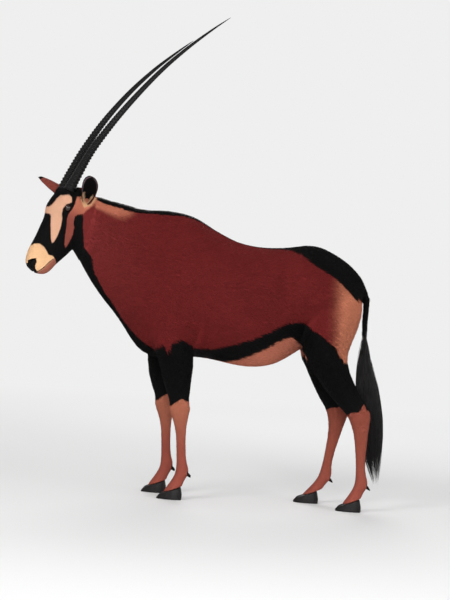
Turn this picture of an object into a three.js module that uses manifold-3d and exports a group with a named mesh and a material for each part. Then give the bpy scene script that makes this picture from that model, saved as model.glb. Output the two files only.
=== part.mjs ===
// A gemsbok, a large straight-horned antelope, standing still at its real size.
// Millimetres, +Z up. The animal faces -X, and its left side is the -Y side.
// Its head is turned a little to its own left. The body is shaped whole and then parted by thin cuts.
import * as THREE from 'three';
import Module from 'manifold-3d';

const wasm = await Module();
wasm.setup();
const { Manifold, Mesh: SolidMesh } = wasm;

// Driving dimensions.
const GAP = 0.3; // width of the thin cuts between neighbouring parts
const HEAD_YAW = 22; // degrees, the head turned towards the animal's left
const FACE_PITCH = 67; // degrees, the face line below the horizontal
const BROW = new THREE.Vector3(-702, -78, 1242); // where the face line meets the front of the horns
const HORN_RADIUS = 24;
const EAR_LENGTH = 168;
const EYE_RADIUS = 20;
const CLAW_HEIGHT = 62;
const DOCK_RADIUS = 13;

const COLOURS = {
  coat: { color: 0x6a2323, roughness: 0.72 },
  leg: { color: 0x9a5444, roughness: 0.75 },
  dark: { color: 0x0b0808, roughness: 0.7 },
  horn: { color: 0x0e0c0b, roughness: 0.42 },
  hoof: { color: 0x14100f, roughness: 0.5 },
  eye: { color: 0x0a0605, roughness: 0.08 },
};

const radians = THREE.MathUtils.degToRad;
const vec = (x, y, z) => new THREE.Vector3(x, y, z);
const mix = (a, b, t) => a + (b - a) * t;

// Tables of sizes are drawn out smoothly between their rows.
function between(rows, t) {
  const last = rows.length - 1;
  const i = Math.min(Math.floor(t), last - 1);
  const f = t - i;
  const [a, b, c, d] = [i - 1, i, i + 1, i + 2].map((k) => rows[Math.min(Math.max(k, 0), last)]);
  return b.map((_, k) => {
    const slopeIn = (c[k] - a[k]) / 2;
    const slopeOut = (d[k] - b[k]) / 2;
    const rise = c[k] - b[k];
    return b[k] + f * (slopeIn + f * (3 * rise - 2 * slopeIn - slopeOut + f * (slopeIn + slopeOut - 2 * rise)));
  });
}

function drawOut(rows, count) {
  return Array.from({ length: count }, (_, i) => between(rows, (i / (count - 1)) * (rows.length - 1)));
}

// A soft-edged swelling (or hollow, where out is negative) round a point.
function swelling(p, { at, size, out }) {
  const d2 = at.reduce((sum, c, k) => sum + (c === null ? 0 : ((p.getComponent(k) - c) / size[k]) ** 2), 0);
  return d2 < 1 ? out * (1 - d2) ** 2 : 0;
}

// One section: a rounded outline, its two halves of their own depth and roundness.
function section({ centre, across, along, half, fore, aft, roundFore = 2, roundAft = 2, sides }) {
  return Array.from({ length: sides }, (_, i) => {
    const angle = (i / sides) * 2 * Math.PI;
    const s = Math.sin(angle);
    const c = Math.cos(angle);
    const power = 2 / (s > 0 ? roundFore : roundAft);
    const side = Math.sign(c) * Math.abs(c) ** power * half;
    const depth = Math.sign(s) * Math.abs(s) ** power * (s > 0 ? fore : aft);
    return centre.clone().addScaledVector(across, side).addScaledVector(along, depth);
  });
}

// A closed solid through rings of points, its two ends drawn to a point or left flat.
function solidThrough(rings, startTip = null, endTip = null) {
  const sides = rings[0].length;
  const middle = (ring) => ring.reduce((sum, p) => sum.add(p), vec(0, 0, 0)).divideScalar(sides);
  const points = rings.flat();
  const start = points.push(startTip ?? middle(rings[0])) - 1;
  const end = points.push(endTip ?? middle(rings.at(-1))) - 1;
  const faces = [];
  for (let i = 0; i < sides; i++) {
    const j = (i + 1) % sides;
    faces.push([start, j, i], [end, (rings.length - 1) * sides + i, (rings.length - 1) * sides + j]);
    for (let r = 0; r < rings.length - 1; r++) {
      const [a, b, c, d] = [r * sides + i, r * sides + j, (r + 1) * sides + i, (r + 1) * sides + j];
      faces.push([a, b, d], [a, d, c]);
    }
  }
  return solidFrom(points, faces);
}

function solidFrom(points, faces) {
  const make = (list) => new Manifold(new SolidMesh({
    numProp: 3,
    vertProperties: new Float32Array(points.flatMap((p) => [p.x, p.y, p.z])),
    triVerts: new Uint32Array(list.flat()),
  }));
  const made = make(faces);
  return made.volume() < 0 ? make(faces.map(([a, b, c]) => [a, c, b])) : made;
}

// A solid from one of the library's geometries.
function solidOf(geometry, matrix = new THREE.Matrix4()) {
  const flat = (geometry.index ? geometry.toNonIndexed() : geometry.clone()).applyMatrix4(matrix);
  const found = new Map();
  const points = [];
  const position = flat.getAttribute('position');
  const faces = [];
  for (let i = 0; i < position.count; i++) {
    const p = vec().fromBufferAttribute(position, i);
    const key = p.toArray().map((c) => Math.round(c * 1000)).join();
    if (!found.has(key)) found.set(key, points.push(p) - 1);
    if (i % 3 === 0) faces.push([]);
    faces.at(-1).push(found.get(key));
  }
  return solidFrom(points, faces.filter(([a, b, c]) => a !== b && b !== c && c !== a));
}

const join = (solids) => Manifold.union(solids);


// The largest closed surface of a solid, which leaves out a loose scrap or a sealed hollow.
function largest(solid) {
  return solid.decompose().sort((a, b) => b.volume() - a.volume())[0];
}

// A box from its corners, and the two sides of a thin cut along its faces.
function boxSolid(low, high, grow = 0) {
  const size = [0, 1, 2].map((k) => high[k] - low[k] + 2 * grow);
  const centre = [0, 1, 2].map((k) => (high[k] + low[k]) / 2);
  return solidOf(new THREE.BoxGeometry(...size), new THREE.Matrix4().makeTranslation(...centre));
}

function partAlong(whole, low, high) {
  return [
    largest(whole.intersect(boxSolid(low, high))),
    largest(whole.subtract(boxSolid(low, high, GAP))),
  ];
}

// The thin cut along a plane: what lies ahead of it, on its normal's side, and what lies behind.
function partByPlane(whole, point, normal) {
  const n = normal.clone().normalize();
  const level = n.dot(point);
  return [
    largest(whole.trimByPlane(n.toArray(), level + GAP / 2)),
    largest(whole.trimByPlane(n.clone().negate().toArray(), -(level - GAP / 2))),
  ];
}

// The trunk: neck, chest, belly and rump, as upright sections from the poll to the tail.
// Each row: top x and z, bottom x and z, half width, middle's y, share of the depth above the
// widest level, roundness above and below that level.
const TRUNK_ROWS = [
  [-590, 1242, -646, 1036, 48, -60, 0.5, 2.0, 1.8],
  [-562, 1240, -610, 988, 62, -56, 0.5, 1.9, 2.0],
  [-528, 1229, -572, 927, 70, -50, 0.5, 1.8, 2.0],
  [-480, 1219, -528, 862, 78, -41, 0.52, 1.7, 2.0],
  [-430, 1209, -482, 806, 88, -32, 0.54, 1.65, 2.0],
  [-380, 1198, -438, 758, 101, -22, 0.56, 1.6, 2.0],
  [-336, 1194, -400, 710, 116, -14, 0.58, 1.6, 2.0],
  [-296, 1196, -366, 662, 134, -7, 0.6, 1.55, 2.0],
  [-258, 1198, -330, 618, 150, -3, 0.6, 1.5, 2.0],
  [-218, 1196, -288, 590, 164, 0, 0.58, 1.5, 2.05],
  [-172, 1189, -228, 579, 178, 0, 0.56, 1.55, 2.1],
  [-122, 1174, -160, 582, 194, 0, 0.54, 1.65, 2.15],
  [-68, 1146, -88, 592, 208, 0, 0.53, 1.8, 2.2],
  [-12, 1117, -14, 587, 220, 0, 0.53, 1.95, 2.2],
  [48, 1090, 60, 574, 229, 0, 0.54, 2.0, 2.2],
  [110, 1075, 130, 567, 232, 0, 0.55, 2.05, 2.2],
  [170, 1070, 196, 571, 226, 0, 0.55, 2.05, 2.15],
  [230, 1072, 258, 590, 212, 0, 0.53, 2.05, 2.1],
  [288, 1079, 312, 624, 198, 0, 0.5, 2.0, 2.05],
  [342, 1090, 362, 660, 190, 0, 0.46, 1.95, 2.0],
  [394, 1090, 412, 684, 186, 0, 0.42, 1.9, 2.0],
  [442, 1075, 456, 694, 178, 0, 0.42, 1.9, 2.0],
  [488, 1053, 500, 704, 164, 0, 0.43, 1.9, 2.0],
  [530, 1027, 538, 728, 142, 0, 0.44, 1.9, 2.0],
  [566, 996, 566, 770, 110, 0, 0.46, 1.9, 2.0],
  [592, 966, 584, 826, 70, 0, 0.48, 2.0, 2.0],
  [608, 938, 598, 872, 34, 0, 0.5, 2.0, 2.0],
];

// Muscles and bones that show on the flanks: centre x, y (any) and z, their reach, and the rise.
const TRUNK_FORMS = [
  { name: 'shoulder blade', at: [-212, null, 985], size: [78, 1, 190], out: 17 },
  { name: 'spine of the blade', at: [-196, null, 1010], size: [26, 1, 150], out: 6 },
  { name: 'point of shoulder', at: [-322, null, 790], size: [80, 1, 95], out: 19 },
  { name: 'upper arm', at: [-226, null, 735], size: [120, 1, 110], out: 25 },
  { name: 'elbow muscle', at: [-140, null, 690], size: [66, 1, 100], out: 15 },
  { name: 'hollow behind the elbow', at: [-62, null, 668], size: [52, 1, 120], out: -13 },
  { name: 'hollow behind the blade', at: [-92, null, 985], size: [60, 1, 150], out: -9 },
  { name: 'hollow before the blade', at: [-318, null, 1000], size: [56, 1, 130], out: -9 },
  { name: 'groove of the throat', at: [-488, null, 945], size: [70, 1, 60], out: -6 },
  { name: 'ribs', at: [84, null, 830], size: [170, 1, 190], out: 8 },
  { name: 'hollow of the flank', at: [288, null, 930], size: [78, 1, 120], out: -20 },
  { name: 'hip bone', at: [352, null, 1012], size: [52, 1, 46], out: 14 },
  { name: 'haunch', at: [472, null, 880], size: [110, 1, 140], out: 10 },
  { name: 'seat bone', at: [566, null, 900], size: [44, 1, 52], out: 7 },
];

function trunk() {
  const sides = 26;
  const rings = drawOut(TRUNK_ROWS, 38).map(([tx, tz, bx, bz, half, y, level, above, below]) => {
    const top = vec(tx, y, tz);
    const bottom = vec(bx, y, bz);
    const depth = top.distanceTo(bottom);
    const centre = top.clone().lerp(bottom, level);
    const ring = section({
      centre, across: vec(0, 1, 0), along: top.clone().sub(bottom).normalize(), half,
      fore: depth * level, aft: depth * (1 - level), roundFore: above, roundAft: below, sides,
    });
    return ring.map((p) => {
      const outward = p.clone().sub(centre).normalize();
      const sideways = Math.abs(outward.y) ** 0.7;
      const rise = TRUNK_FORMS.reduce((sum, form) => sum + swelling(p, form), 0);
      return p.addScaledVector(vec(0, Math.sign(outward.y), 0), rise * sideways);
    });
  });
  return solidThrough(rings);
}

// A leg, as level sections from inside the trunk down to the coronet.
// Each row: height, front x, back x, middle's distance from the midline, half width,
// roundness of the front and of the back.
const FORE_ROWS = [
  [900, -250, -128, 84, 40, 2.0, 2.0],
  [830, -276, -112, 98, 52, 2.0, 2.0],
  [760, -292, -102, 110, 58, 2.0, 2.0],
  [690, -284, -94, 117, 60, 2.0, 2.0],
  [625, -256, -86, 120, 57, 2.0, 1.9],
  [560, -226, -86, 121, 49, 2.0, 1.9],
  [510, -208, -90, 117, 43, 2.0, 2.0],
  [460, -194, -92, 113, 37, 2.1, 2.0],
  [420, -180, -94, 110, 32, 2.2, 2.0],
  [396, -174, -92, 109, 32.5, 2.4, 2.0],
  [370, -170, -90, 108, 33.5, 2.5, 1.9],
  [344, -162, -91, 107, 30, 2.4, 1.9],
  [318, -152, -96, 106, 24, 2.2, 2.0],
  [280, -142, -97, 104, 18.5, 2.0, 1.9],
  [230, -136, -95, 102, 16.5, 2.0, 1.8],
  [180, -132, -90, 100, 17, 2.0, 1.8],
  [150, -130, -84, 99, 21, 2.0, 1.9],
  [128, -130, -76, 98, 25.5, 2.1, 1.9],
  [108, -133, -76, 98, 26, 2.1, 1.9],
  [88, -141, -86, 98, 25, 2.1, 2.0],
  [66, -154, -96, 98, 29, 2.1, 2.1],
  [44, -168, -98, 98, 36, 2.1, 2.1],
  [26, -178, -96, 98, 38, 2.0, 2.1],
];

const HIND_ROWS = [
  [950, 436, 566, 78, 44, 2.0, 2.0],
  [905, 416, 588, 90, 60, 2.0, 2.0],
  [860, 398, 600, 99, 73, 2.0, 1.9],
  [800, 376, 596, 107, 81, 2.0, 1.9],
  [735, 356, 578, 113, 79, 2.0, 1.9],
  [680, 354, 558, 117, 71, 2.0, 1.9],
  [630, 370, 551, 117, 61, 2.0, 1.9],
  [584, 402, 562, 115, 53, 2.0, 1.8],
  [540, 434, 584, 111, 45, 2.0, 1.7],
  [500, 466, 608, 107, 39, 2.1, 1.6],
  [462, 500, 632, 104, 34, 2.2, 1.5],
  [430, 532, 652, 101, 32, 2.3, 1.5],
  [400, 564, 664, 99, 31.5, 2.4, 1.6],
  [370, 580, 663, 98, 30, 2.4, 1.8],
  [336, 594, 660, 98, 25, 2.2, 1.9],
  [290, 604, 658, 98, 19.5, 2.0, 1.9],
  [230, 612, 656, 98, 17.5, 2.0, 1.8],
  [180, 617, 658, 98, 18, 2.0, 1.8],
  [150, 618, 664, 98, 21.5, 2.0, 1.9],
  [126, 618, 672, 98, 25.5, 2.1, 1.9],
  [106, 614, 671, 98, 26, 2.1, 1.9],
  [86, 606, 661, 98, 25, 2.1, 2.0],
  [64, 593, 651, 98, 29, 2.1, 2.1],
  [43, 579, 648, 98, 36, 2.1, 2.1],
  [26, 570, 649, 98, 38, 2.0, 2.1],
];

// Where each leg stands against the tables above: how far its foot is moved, from which height down.
const LEGS = {
  front_left: { rows: FORE_ROWS, side: -1, foot: 0, knee: 0, from: 760, mid: 520, ease: 1 },
  front_right: { rows: FORE_ROWS, side: 1, foot: -72, knee: -66, from: 760, mid: 520, ease: 0.8 },
  hind_left: { rows: HIND_ROWS, side: -1, foot: 0, knee: 0, from: 760, mid: 400, ease: 1 },
  hind_right: { rows: HIND_ROWS, side: 1, foot: -170, knee: -78, from: 760, mid: 400, ease: 2 },
};

const FORE_FORMS = [
  { name: 'knee cap', at: [-172, null, 372], size: [26, 1, 34], out: 3 },
  { name: 'bone behind the knee', at: [-90, null, 386], size: [20, 1, 24], out: 5 },
  { name: 'forearm muscle', at: [-196, null, 510], size: [60, 1, 90], out: 5 },
];

const HIND_FORMS = [
  { name: 'point of hock', at: [664, null, 428], size: [26, 1, 30], out: 5 },
  { name: 'ankle knuckle', at: [604, null, 392], size: [34, 1, 30], out: 4 },
];

function stanceShift(leg, z) {
  if (z >= leg.from) return 0;
  if (z >= leg.mid) return leg.knee * ((leg.from - z) / (leg.from - leg.mid)) ** leg.ease;
  return mix(leg.knee, leg.foot, (leg.mid - z) / leg.mid);
}

function legSolid(leg) {
  const forms = leg.rows === FORE_ROWS ? FORE_FORMS : HIND_FORMS;
  const count = leg.rows.length + 3;
  const rings = drawOut(leg.rows, count).map(([z, front, back, out, half, roundFront, roundBack]) => {
    const widest = mix(front, back, 0.46);
    const shift = stanceShift(leg, z);
    const centre = vec(widest, leg.side * out, z);
    const ring = section({
      centre, across: vec(0, 1, 0), along: vec(-1, 0, 0), half,
      fore: widest - front, aft: back - widest, roundFore: roundFront, roundAft: roundBack, sides: 12,
    });
    return ring.map((p) => {
      const outward = p.clone().sub(centre).normalize();
      const rise = forms.reduce((sum, form) => sum + swelling(p, form), 0);
      p.addScaledVector(outward, rise);
      p.x += shift;
      return p;
    });
  });
  return solidThrough(rings);
}

// The two dewclaws behind each fetlock, small blunt cones of horn.
function dewclaws(leg) {
  const fore = leg.rows === FORE_ROWS;
  const root = fore ? vec(-84, 98, 104) : vec(664, 98, 102);
  const shift = stanceShift(leg, root.z);
  return [-1, 1].map((inner) => {
    const axis = vec(0.72, inner * 0.25, -0.62).normalize();
    const start = vec(root.x + shift, leg.side * root.y + inner * 14, root.z + 8);
    const rings = [[0, 8.5], [12, 8.5], [22, 6.5], [28, 3]].map(([reach, radius]) => section({
      centre: start.clone().addScaledVector(axis, reach), across: vec(0, 1, 0),
      along: vec(0, 1, 0).cross(axis).normalize(), half: radius, fore: radius, aft: radius * 0.8, sides: 6,
    }));
    return solidThrough(rings);
  });
}

// One claw of a cloven hoof: level sections from its flat sole to inside the coronet.
// Each row: height, toe reach, heel reach, both from the claw's middle, and half width.
const CLAW_ROWS = [
  [0, 66, 40, 19.5],
  [6, 63, 42, 20],
  [20, 52, 42, 19.2],
  [38, 38, 38, 17.6],
  [CLAW_HEIGHT, 22, 32, 15.8],
];

function clawMiddle(leg) {
  return (leg.rows === FORE_ROWS ? -139 : 608) + stanceShift(leg, 0);
}

function claw(leg, inner) {
  const x = clawMiddle(leg);
  const rings = CLAW_ROWS.map(([z, toe, heel, half]) => section({
    centre: vec(x, leg.side * 98 + inner * 21.6, z), across: vec(0, inner, 0), along: vec(-1, 0, 0), half,
    fore: toe, aft: heel, roundFore: 1.75, roundAft: 2.3, sides: 12,
  }).map((p) => {
    // The wall on the cleft's side is nearly straight, and the toes curve towards each other.
    const toeward = Math.max(0, (x - p.x) / 66);
    const offCleft = inner * (p.y - leg.side * 98);
    p.y = leg.side * 98 + inner * Math.max(2.2, offCleft - 5 * toeward ** 2);
    return p;
  }));
  return solidThrough(rings);
}

// The coronet, where the hair ends and the claws begin, slopes down from toe to heel.
const CORONET_NORMAL = vec(-0.38, 0, 1).normalize();

function coronetPoint(leg) {
  return vec(clawMiddle(leg), 0, 40);
}

// The head's own axes: forward along the face line, up from it, and out to the left.
const yaw = radians(HEAD_YAW);
const pitch = radians(FACE_PITCH);
const AHEAD = vec(-Math.cos(yaw), -Math.sin(yaw), 0);
const FACE = AHEAD.clone().multiplyScalar(Math.cos(pitch)).add(vec(0, 0, -Math.sin(pitch)));
const RAISE = AHEAD.clone().multiplyScalar(Math.sin(pitch)).add(vec(0, 0, Math.cos(pitch)));
const LEFT = vec(Math.sin(yaw), -Math.cos(yaw), 0);

function onHead(u, v, w) {
  return BROW.clone().addScaledVector(FACE, u).addScaledVector(RAISE, v).addScaledVector(LEFT, w);
}

const headTurn = new THREE.Matrix4().makeBasis(FACE, RAISE, LEFT).setPosition(BROW);

// The head, as sections square to the face line. Each row: place along the face line, the top and the
// underside against it, half width, share of the depth above the widest level, roundness above and below.
const HEAD_ROWS = [
  [-62, -84, -140, 30, 0.5, 2.0, 2.0],
  [-52, -64, -158, 50, 0.46, 2.0, 2.0],
  [-38, -36, -172, 62, 0.42, 2.1, 1.9],
  [-20, -12, -181, 70, 0.38, 2.2, 1.85],
  [0, -2, -188, 76, 0.34, 2.3, 1.8],
  [22, 4, -192, 79, 0.32, 2.4, 1.75],
  [44, 8, -194, 79, 0.31, 2.4, 1.75],
  [66, 11, -194, 74, 0.33, 2.35, 1.75],
  [86, 9, -192, 68, 0.36, 2.3, 1.8],
  [104, 3, -189, 62, 0.38, 2.3, 1.85],
  [128, 0, -184, 55, 0.4, 2.3, 1.9],
  [154, 0, -177, 49.5, 0.42, 2.35, 1.95],
  [182, -1, -168, 45, 0.44, 2.4, 2.0],
  [210, -1, -158, 42, 0.46, 2.45, 2.05],
  [236, 0, -147, 41, 0.47, 2.5, 2.1],
  [258, 1, -137, 42, 0.47, 2.5, 2.15],
  [278, 0, -129, 43, 0.46, 2.4, 2.2],
  [296, -3, -124, 43, 0.46, 2.3, 2.2],
  [311, -8, -118, 41, 0.46, 2.25, 2.2],
  [324, -15, -110, 37, 0.46, 2.2, 2.2],
  [334, -27, -98, 29, 0.46, 2.15, 2.2],
  [341, -44, -80, 17, 0.48, 2.0, 2.0],
];

const HEAD_FORMS = [
  { name: 'eye rim', at: [48, -52, null], size: [44, 36, 1], out: 7 },
  { name: 'cheek bone', at: [100, -74, null], size: [62, 20, 1], out: 5 },
  { name: 'jaw muscle', at: [56, -130, null], size: [68, 60, 1], out: 9 },
  { name: 'hollow before the eye', at: [112, -40, null], size: [48, 26, 1], out: -6 },
  { name: 'side of the nose', at: [180, -50, null], size: [74, 34, 1], out: -5 },
  { name: 'hollow behind the mouth', at: [216, -104, null], size: [46, 28, 1], out: -5 },
  { name: 'temple', at: [-4, -66, null], size: [34, 34, 1], out: -6 },
  { name: 'wing of the nostril', at: [308, -22, null], size: [32, 26, 1], out: 6 },
  { name: 'upper lip', at: [302, -62, null], size: [40, 22, 1], out: 4 },
  { name: 'lower lip', at: [300, -106, null], size: [40, 18, 1], out: 3 },
];

function headRing([u, top, bottom, half, level, above, below], sides) {
  const depth = top - bottom;
  const centre = vec(u, top - depth * level, 0);
  return section({
    centre, across: vec(0, 0, 1), along: vec(0, 1, 0), half,
    fore: depth * level, aft: depth * (1 - level), roundFore: above, roundAft: below, sides,
  }).map((p) => {
    const sideways = Math.abs(p.clone().sub(centre).normalize().z) ** 0.8;
    const rise = HEAD_FORMS.reduce((sum, form) => sum + swelling(p, form), 0);
    p.z += Math.sign(p.z) * rise * sideways;
    return p;
  });
}

function headLoft() {
  return solidThrough(drawOut(HEAD_ROWS, 36).map((row) => headRing(row, 26)), null, vec(344, -62, 0));
}

// How far the head's side lies from its middle plane, at a place u along it and a height v.
function cheekAt(u, v) {
  const i = HEAD_ROWS.findIndex((row, k) => k > 0 && row[0] >= u);
  const t = i < 0 ? HEAD_ROWS.length - 1 : i - 1 + (u - HEAD_ROWS[i - 1][0]) / (HEAD_ROWS[i][0] - HEAD_ROWS[i - 1][0]);
  const ring = headRing(between(HEAD_ROWS, t), 144).filter((p) => p.z >= 0);
  return ring.reduce((best, p) => (Math.abs(p.y - v) < Math.abs(best.y - v) ? p : best)).z;
}

// A round rod along points, its radius given at each.
function rod(points, radii, sides) {
  const rings = points.map((p, i) => {
    const before = points[Math.max(i - 1, 0)];
    const after = points[Math.min(i + 1, points.length - 1)];
    const run = after.clone().sub(before).normalize();
    const across = vec(0.31, 0.83, 0.46).cross(run).normalize();
    return section({
      centre: p, across, along: run.clone().cross(across), half: radii[i], fore: radii[i], aft: radii[i], sides,
    });
  });
  return solidThrough(rings);
}

const EYE_AT = vec(46, -52, 62);
const EYE_LOOK = vec(0.2, 0.12, 0.97).normalize();

function mirrored(p, side) {
  return vec(p.x, p.y, p.z * side);
}

// The eye's own axes on one side of the head: its opening's length, its height, and outwards.
function eyeFrame(side) {
  const out = mirrored(EYE_LOOK, side);
  const corner = mirrored(vec(0.94, -0.3, -0.16), side).projectOnPlane(out).normalize();
  return new THREE.Matrix4().makeBasis(corner, out.clone().cross(corner), out).setPosition(mirrored(EYE_AT, side));
}

// Both lids: a rounded swelling over the ball, opened by a pointed oval.
function lids(side) {
  const swell = solidOf(new THREE.SphereGeometry(1, 15, 10),
    eyeFrame(side).multiply(new THREE.Matrix4().makeScale(30, 25, EYE_RADIUS + 3.2)));
  const [long, high] = [19, 12.5];
  const bend = (long ** 2 + high ** 2) / (2 * high);
  const sweep = Math.asin(long / bend);
  const outline = new THREE.Shape();
  outline.absarc(0, high - bend, bend, Math.PI / 2 - sweep, Math.PI / 2 + sweep, false);
  outline.absarc(0, bend - high, bend, 1.5 * Math.PI - sweep, 1.5 * Math.PI + sweep, false);
  const opening = solidOf(new THREE.ExtrudeGeometry(outline, { depth: 40, bevelEnabled: false, curveSegments: 7 }),
    eyeFrame(side));
  return { swell, opening };
}

function eyeball(side, radius) {
  return solidOf(new THREE.SphereGeometry(radius, 14, 10), eyeFrame(side));
}

// The cuts that make the mouth: a groove round the muzzle between the two lips.
function mouthGroove() {
  const steps = 9;
  const half = Array.from({ length: steps }, (_, i) => {
    const t = i / (steps - 1);
    const u = mix(260, 343, Math.sin(t * Math.PI * 0.5));
    const v = mix(-101, -58, t ** 0.8);
    const w = i === steps - 1 ? 0 : Math.max(cheekAt(Math.min(u, 339), v) - 0.4, 0);
    return vec(u, v, w * Math.sqrt(Math.max(0, 1 - t ** 9)));
  });
  const points = [...half, ...half.slice(0, -1).reverse().map((p) => mirrored(p, -1))];
  const radii = points.map((_, i) => 1.2 + 1.7 * Math.sin((Math.PI * i) / (points.length - 1)) ** 0.5);
  return rod(points, radii, 5);
}

// One nostril, a slit curved like a comma.
function nostril(side) {
  const points = [[291, -35, 2], [300, -23, 3.5], [312, -17, 4], [323, -22, 3], [331, -35, 1]].map(([u, v, sunk]) => (
    vec(u, v, side * (cheekAt(u, v) - sunk))));
  return rod(points, [2.2, 4.2, 5.4, 5.0, 2.6], 8);
}

// Each ear: its side of the head, the way its tip points, and the way its cup opens.
const EARS = {
  left: [1, [0.14, -0.78, 0.61], [-0.3, -0.72, -0.5]],
  right: [-1, [-0.85, 0.27, 0.49], [-0.35, 0.45, -0.8]],
};

// An ear: a leaf-shaped cup, open on one side, thick enough to be a real ear.
// Each row: share of its length, half width, depth of the cup, how far round its edge curls.
const EAR_ROWS = [
  [0.0, 17, 18, 172],
  [0.08, 18, 18, 165],
  [0.18, 22, 20, 146],
  [0.32, 28, 20, 124],
  [0.48, 33, 18, 110],
  [0.64, 35, 16, 102],
  [0.78, 33, 13, 96],
  [0.89, 26, 9, 90],
  [0.96, 16, 5, 84],
];

function ear(root, tip, opening) {
  const axis = tip.clone().sub(root);
  const length = axis.length();
  axis.normalize();
  const open = opening.clone().projectOnPlane(axis).normalize();
  const across = axis.clone().cross(open).normalize();
  const wall = 3.4;
  const arc = 9;
  const rings = drawOut(EAR_ROWS, 12).map(([share, half, deep, curl]) => {
    const centre = root.clone().addScaledVector(axis, share * length).addScaledVector(open, -6 * share);
    const arcPoints = (shrink) => Array.from({ length: arc }, (_, i) => {
      const angle = radians(mix(-curl, curl, i / (arc - 1)));
      return centre.clone()
        .addScaledVector(across, Math.sin(angle) * (half - shrink))
        .addScaledVector(open, -Math.cos(angle) * (deep - shrink * 0.8) + shrink * 0.4);
    });
    return [...arcPoints(0), ...arcPoints(Math.min(wall, half * 0.4)).reverse()];
  });
  return solidThrough(rings, null, tip);
}

// The middle line of each horn as it is seen from the side: x and z from the root to the tip.
const HORN_LINES = {
  left: [[-653, 1250], [-619, 1324], [-567, 1429], [-484, 1557], [-391, 1681], [-298, 1791], [-203, 1886],
    [-108, 1970], [-33, 2030]],
  right: [[-684, 1250], [-658, 1320], [-609, 1426], [-534, 1553], [-442, 1678], [-348, 1783], [-265, 1862],
    [-186, 1931]],
};

// A horn: a long tapering rod with a slight backward bend, ringed over its lower part.
function horn(side) {
  const line = HORN_LINES[side < 0 ? 'right' : 'left'];
  const spread = (t) => side * mix(34, 72, t ** 1.2);
  const middle = drawOut(line, 121).map(([x, z], i) => {
    const w = spread(i / 120);
    const behind = x - (side < 0 ? -684 : -653);
    return vec(x, BROW.y + 16 + Math.tan(yaw) * behind - w / Math.cos(yaw), z);
  });
  const runs = middle.slice(1).map((p, i) => p.distanceTo(middle[i]));
  const length = runs.reduce((sum, run) => sum + run, 0);
  const at = (s) => {
    let rest = THREE.MathUtils.clamp(s, 0, length);
    const i = runs.findIndex((run, k) => (rest <= run || k === runs.length - 1 ? true : ((rest -= run), false)));
    return middle[i].clone().lerp(middle[i + 1], Math.min(rest / runs[i], 1));
  };
  const ringSpacing = 19;
  const ringed = 23 * ringSpacing;
  const plain = 13;
  const stations = [
    ...Array.from({ length: 46 }, (_, i) => (i * ringSpacing) / 2),
    ...Array.from({ length: plain + 1 }, (_, i) => mix(ringed, length - 14, 1 - (1 - i / plain) ** 1.1)),
  ];
  const rings = stations.map((s, i) => {
    const share = s / length;
    const taper = 0.985 * (1 - share) ** 0.62 * (1 - 0.2 * (1 - Math.exp(-share * 12))) + 0.015;
    const fade = 1 - THREE.MathUtils.smoothstep(s, 240, ringed);
    const ridge = s < ringed && s > 20 ? (i % 2 ? 1.8 : -1.0) * fade : 0;
    const radius = HORN_RADIUS * taper + ridge;
    const run = at(s + 6).sub(at(s - 6)).normalize();
    const across = LEFT.clone().projectOnPlane(run).normalize();
    return section({
      centre: at(s), across, along: across.clone().cross(run), half: radius * 0.93, fore: radius, aft: radius, sides: 8,
    });
  });
  return { solid: solidThrough(rings, null, at(length)), root: at(0), run: at(12).sub(at(0)).normalize() };
}

// The fleshy dock of the tail, from inside the rump down into the tuft.
const DOCK_POINTS = [[580, 930], [604, 914], [618, 884], [619, 840], [618, 790], [620, 730], [624, 670], [628, 610], [633, 560]];

function dock() {
  const radii = DOCK_POINTS.map((_, i) => DOCK_RADIUS * (i < 2 ? 1.7 - 0.3 * i : 1.05 - 0.07 * (i - 2)));
  return rod(DOCK_POINTS.map(([x, z]) => vec(x, 0, z)), radii, 12);
}

// The outer limits of the tuft's hair. Each row: height, front x, back x, half width.
const TUFT_ROWS = [
  [730, 609, 634, 13], [690, 603, 646, 22], [640, 598, 656, 32], [580, 594, 674, 40], [520, 595, 696, 44],
  [450, 601, 713, 44], [380, 610, 726, 38], [310, 624, 731, 30], [240, 644, 730, 22], [170, 672, 728, 12],
  [110, 700, 724, 4],
];

// The tuft: a core that holds its hair together, and flat tapering locks rooted in it.
// Each core row: height, front x, back x, half width.
const TUFT_CORE = [
  [730, 609, 634, 12.5], [690, 604, 643, 19], [640, 601, 650, 26], [590, 600, 657, 31], [530, 604, 667, 32],
  [470, 614, 680, 29], [410, 628, 690, 23], [350, 646, 696, 15], [300, 662, 698, 8],
];
const LOCK_ROWS = [
  { count: 6, from: 690, length: 245, width: 26 },
  { count: 7, from: 605, length: 270, width: 31 },
  { count: 7, from: 520, length: 285, width: 31 },
  { count: 6, from: 430, length: 280, width: 26 },
];

// A fixed sequence of numbers between 0 and 1, so that the locks come out the same every time.
function sequence(seed) {
  let state = seed;
  return () => {
    state = (state * 16807) % 2147483647;
    return state / 2147483647;
  };
}

function lock(points, across, width, thick) {
  const shares = [0.7, 1, 0.85, 0.45];
  const rings = points.slice(0, -1).map((p, i) => {
    const run = points[i + 1].clone().sub(points[Math.max(i - 1, 0)]).normalize();
    const wide = across.clone().projectOnPlane(run).normalize();
    return section({
      centre: p, across: wide, along: run.clone().cross(wide), half: (width / 2) * shares[i],
      fore: (thick / 2) * shares[i], aft: (thick / 2) * shares[i], sides: 4,
    });
  });
  return solidThrough(rings, null, points.at(-1));
}

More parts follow.
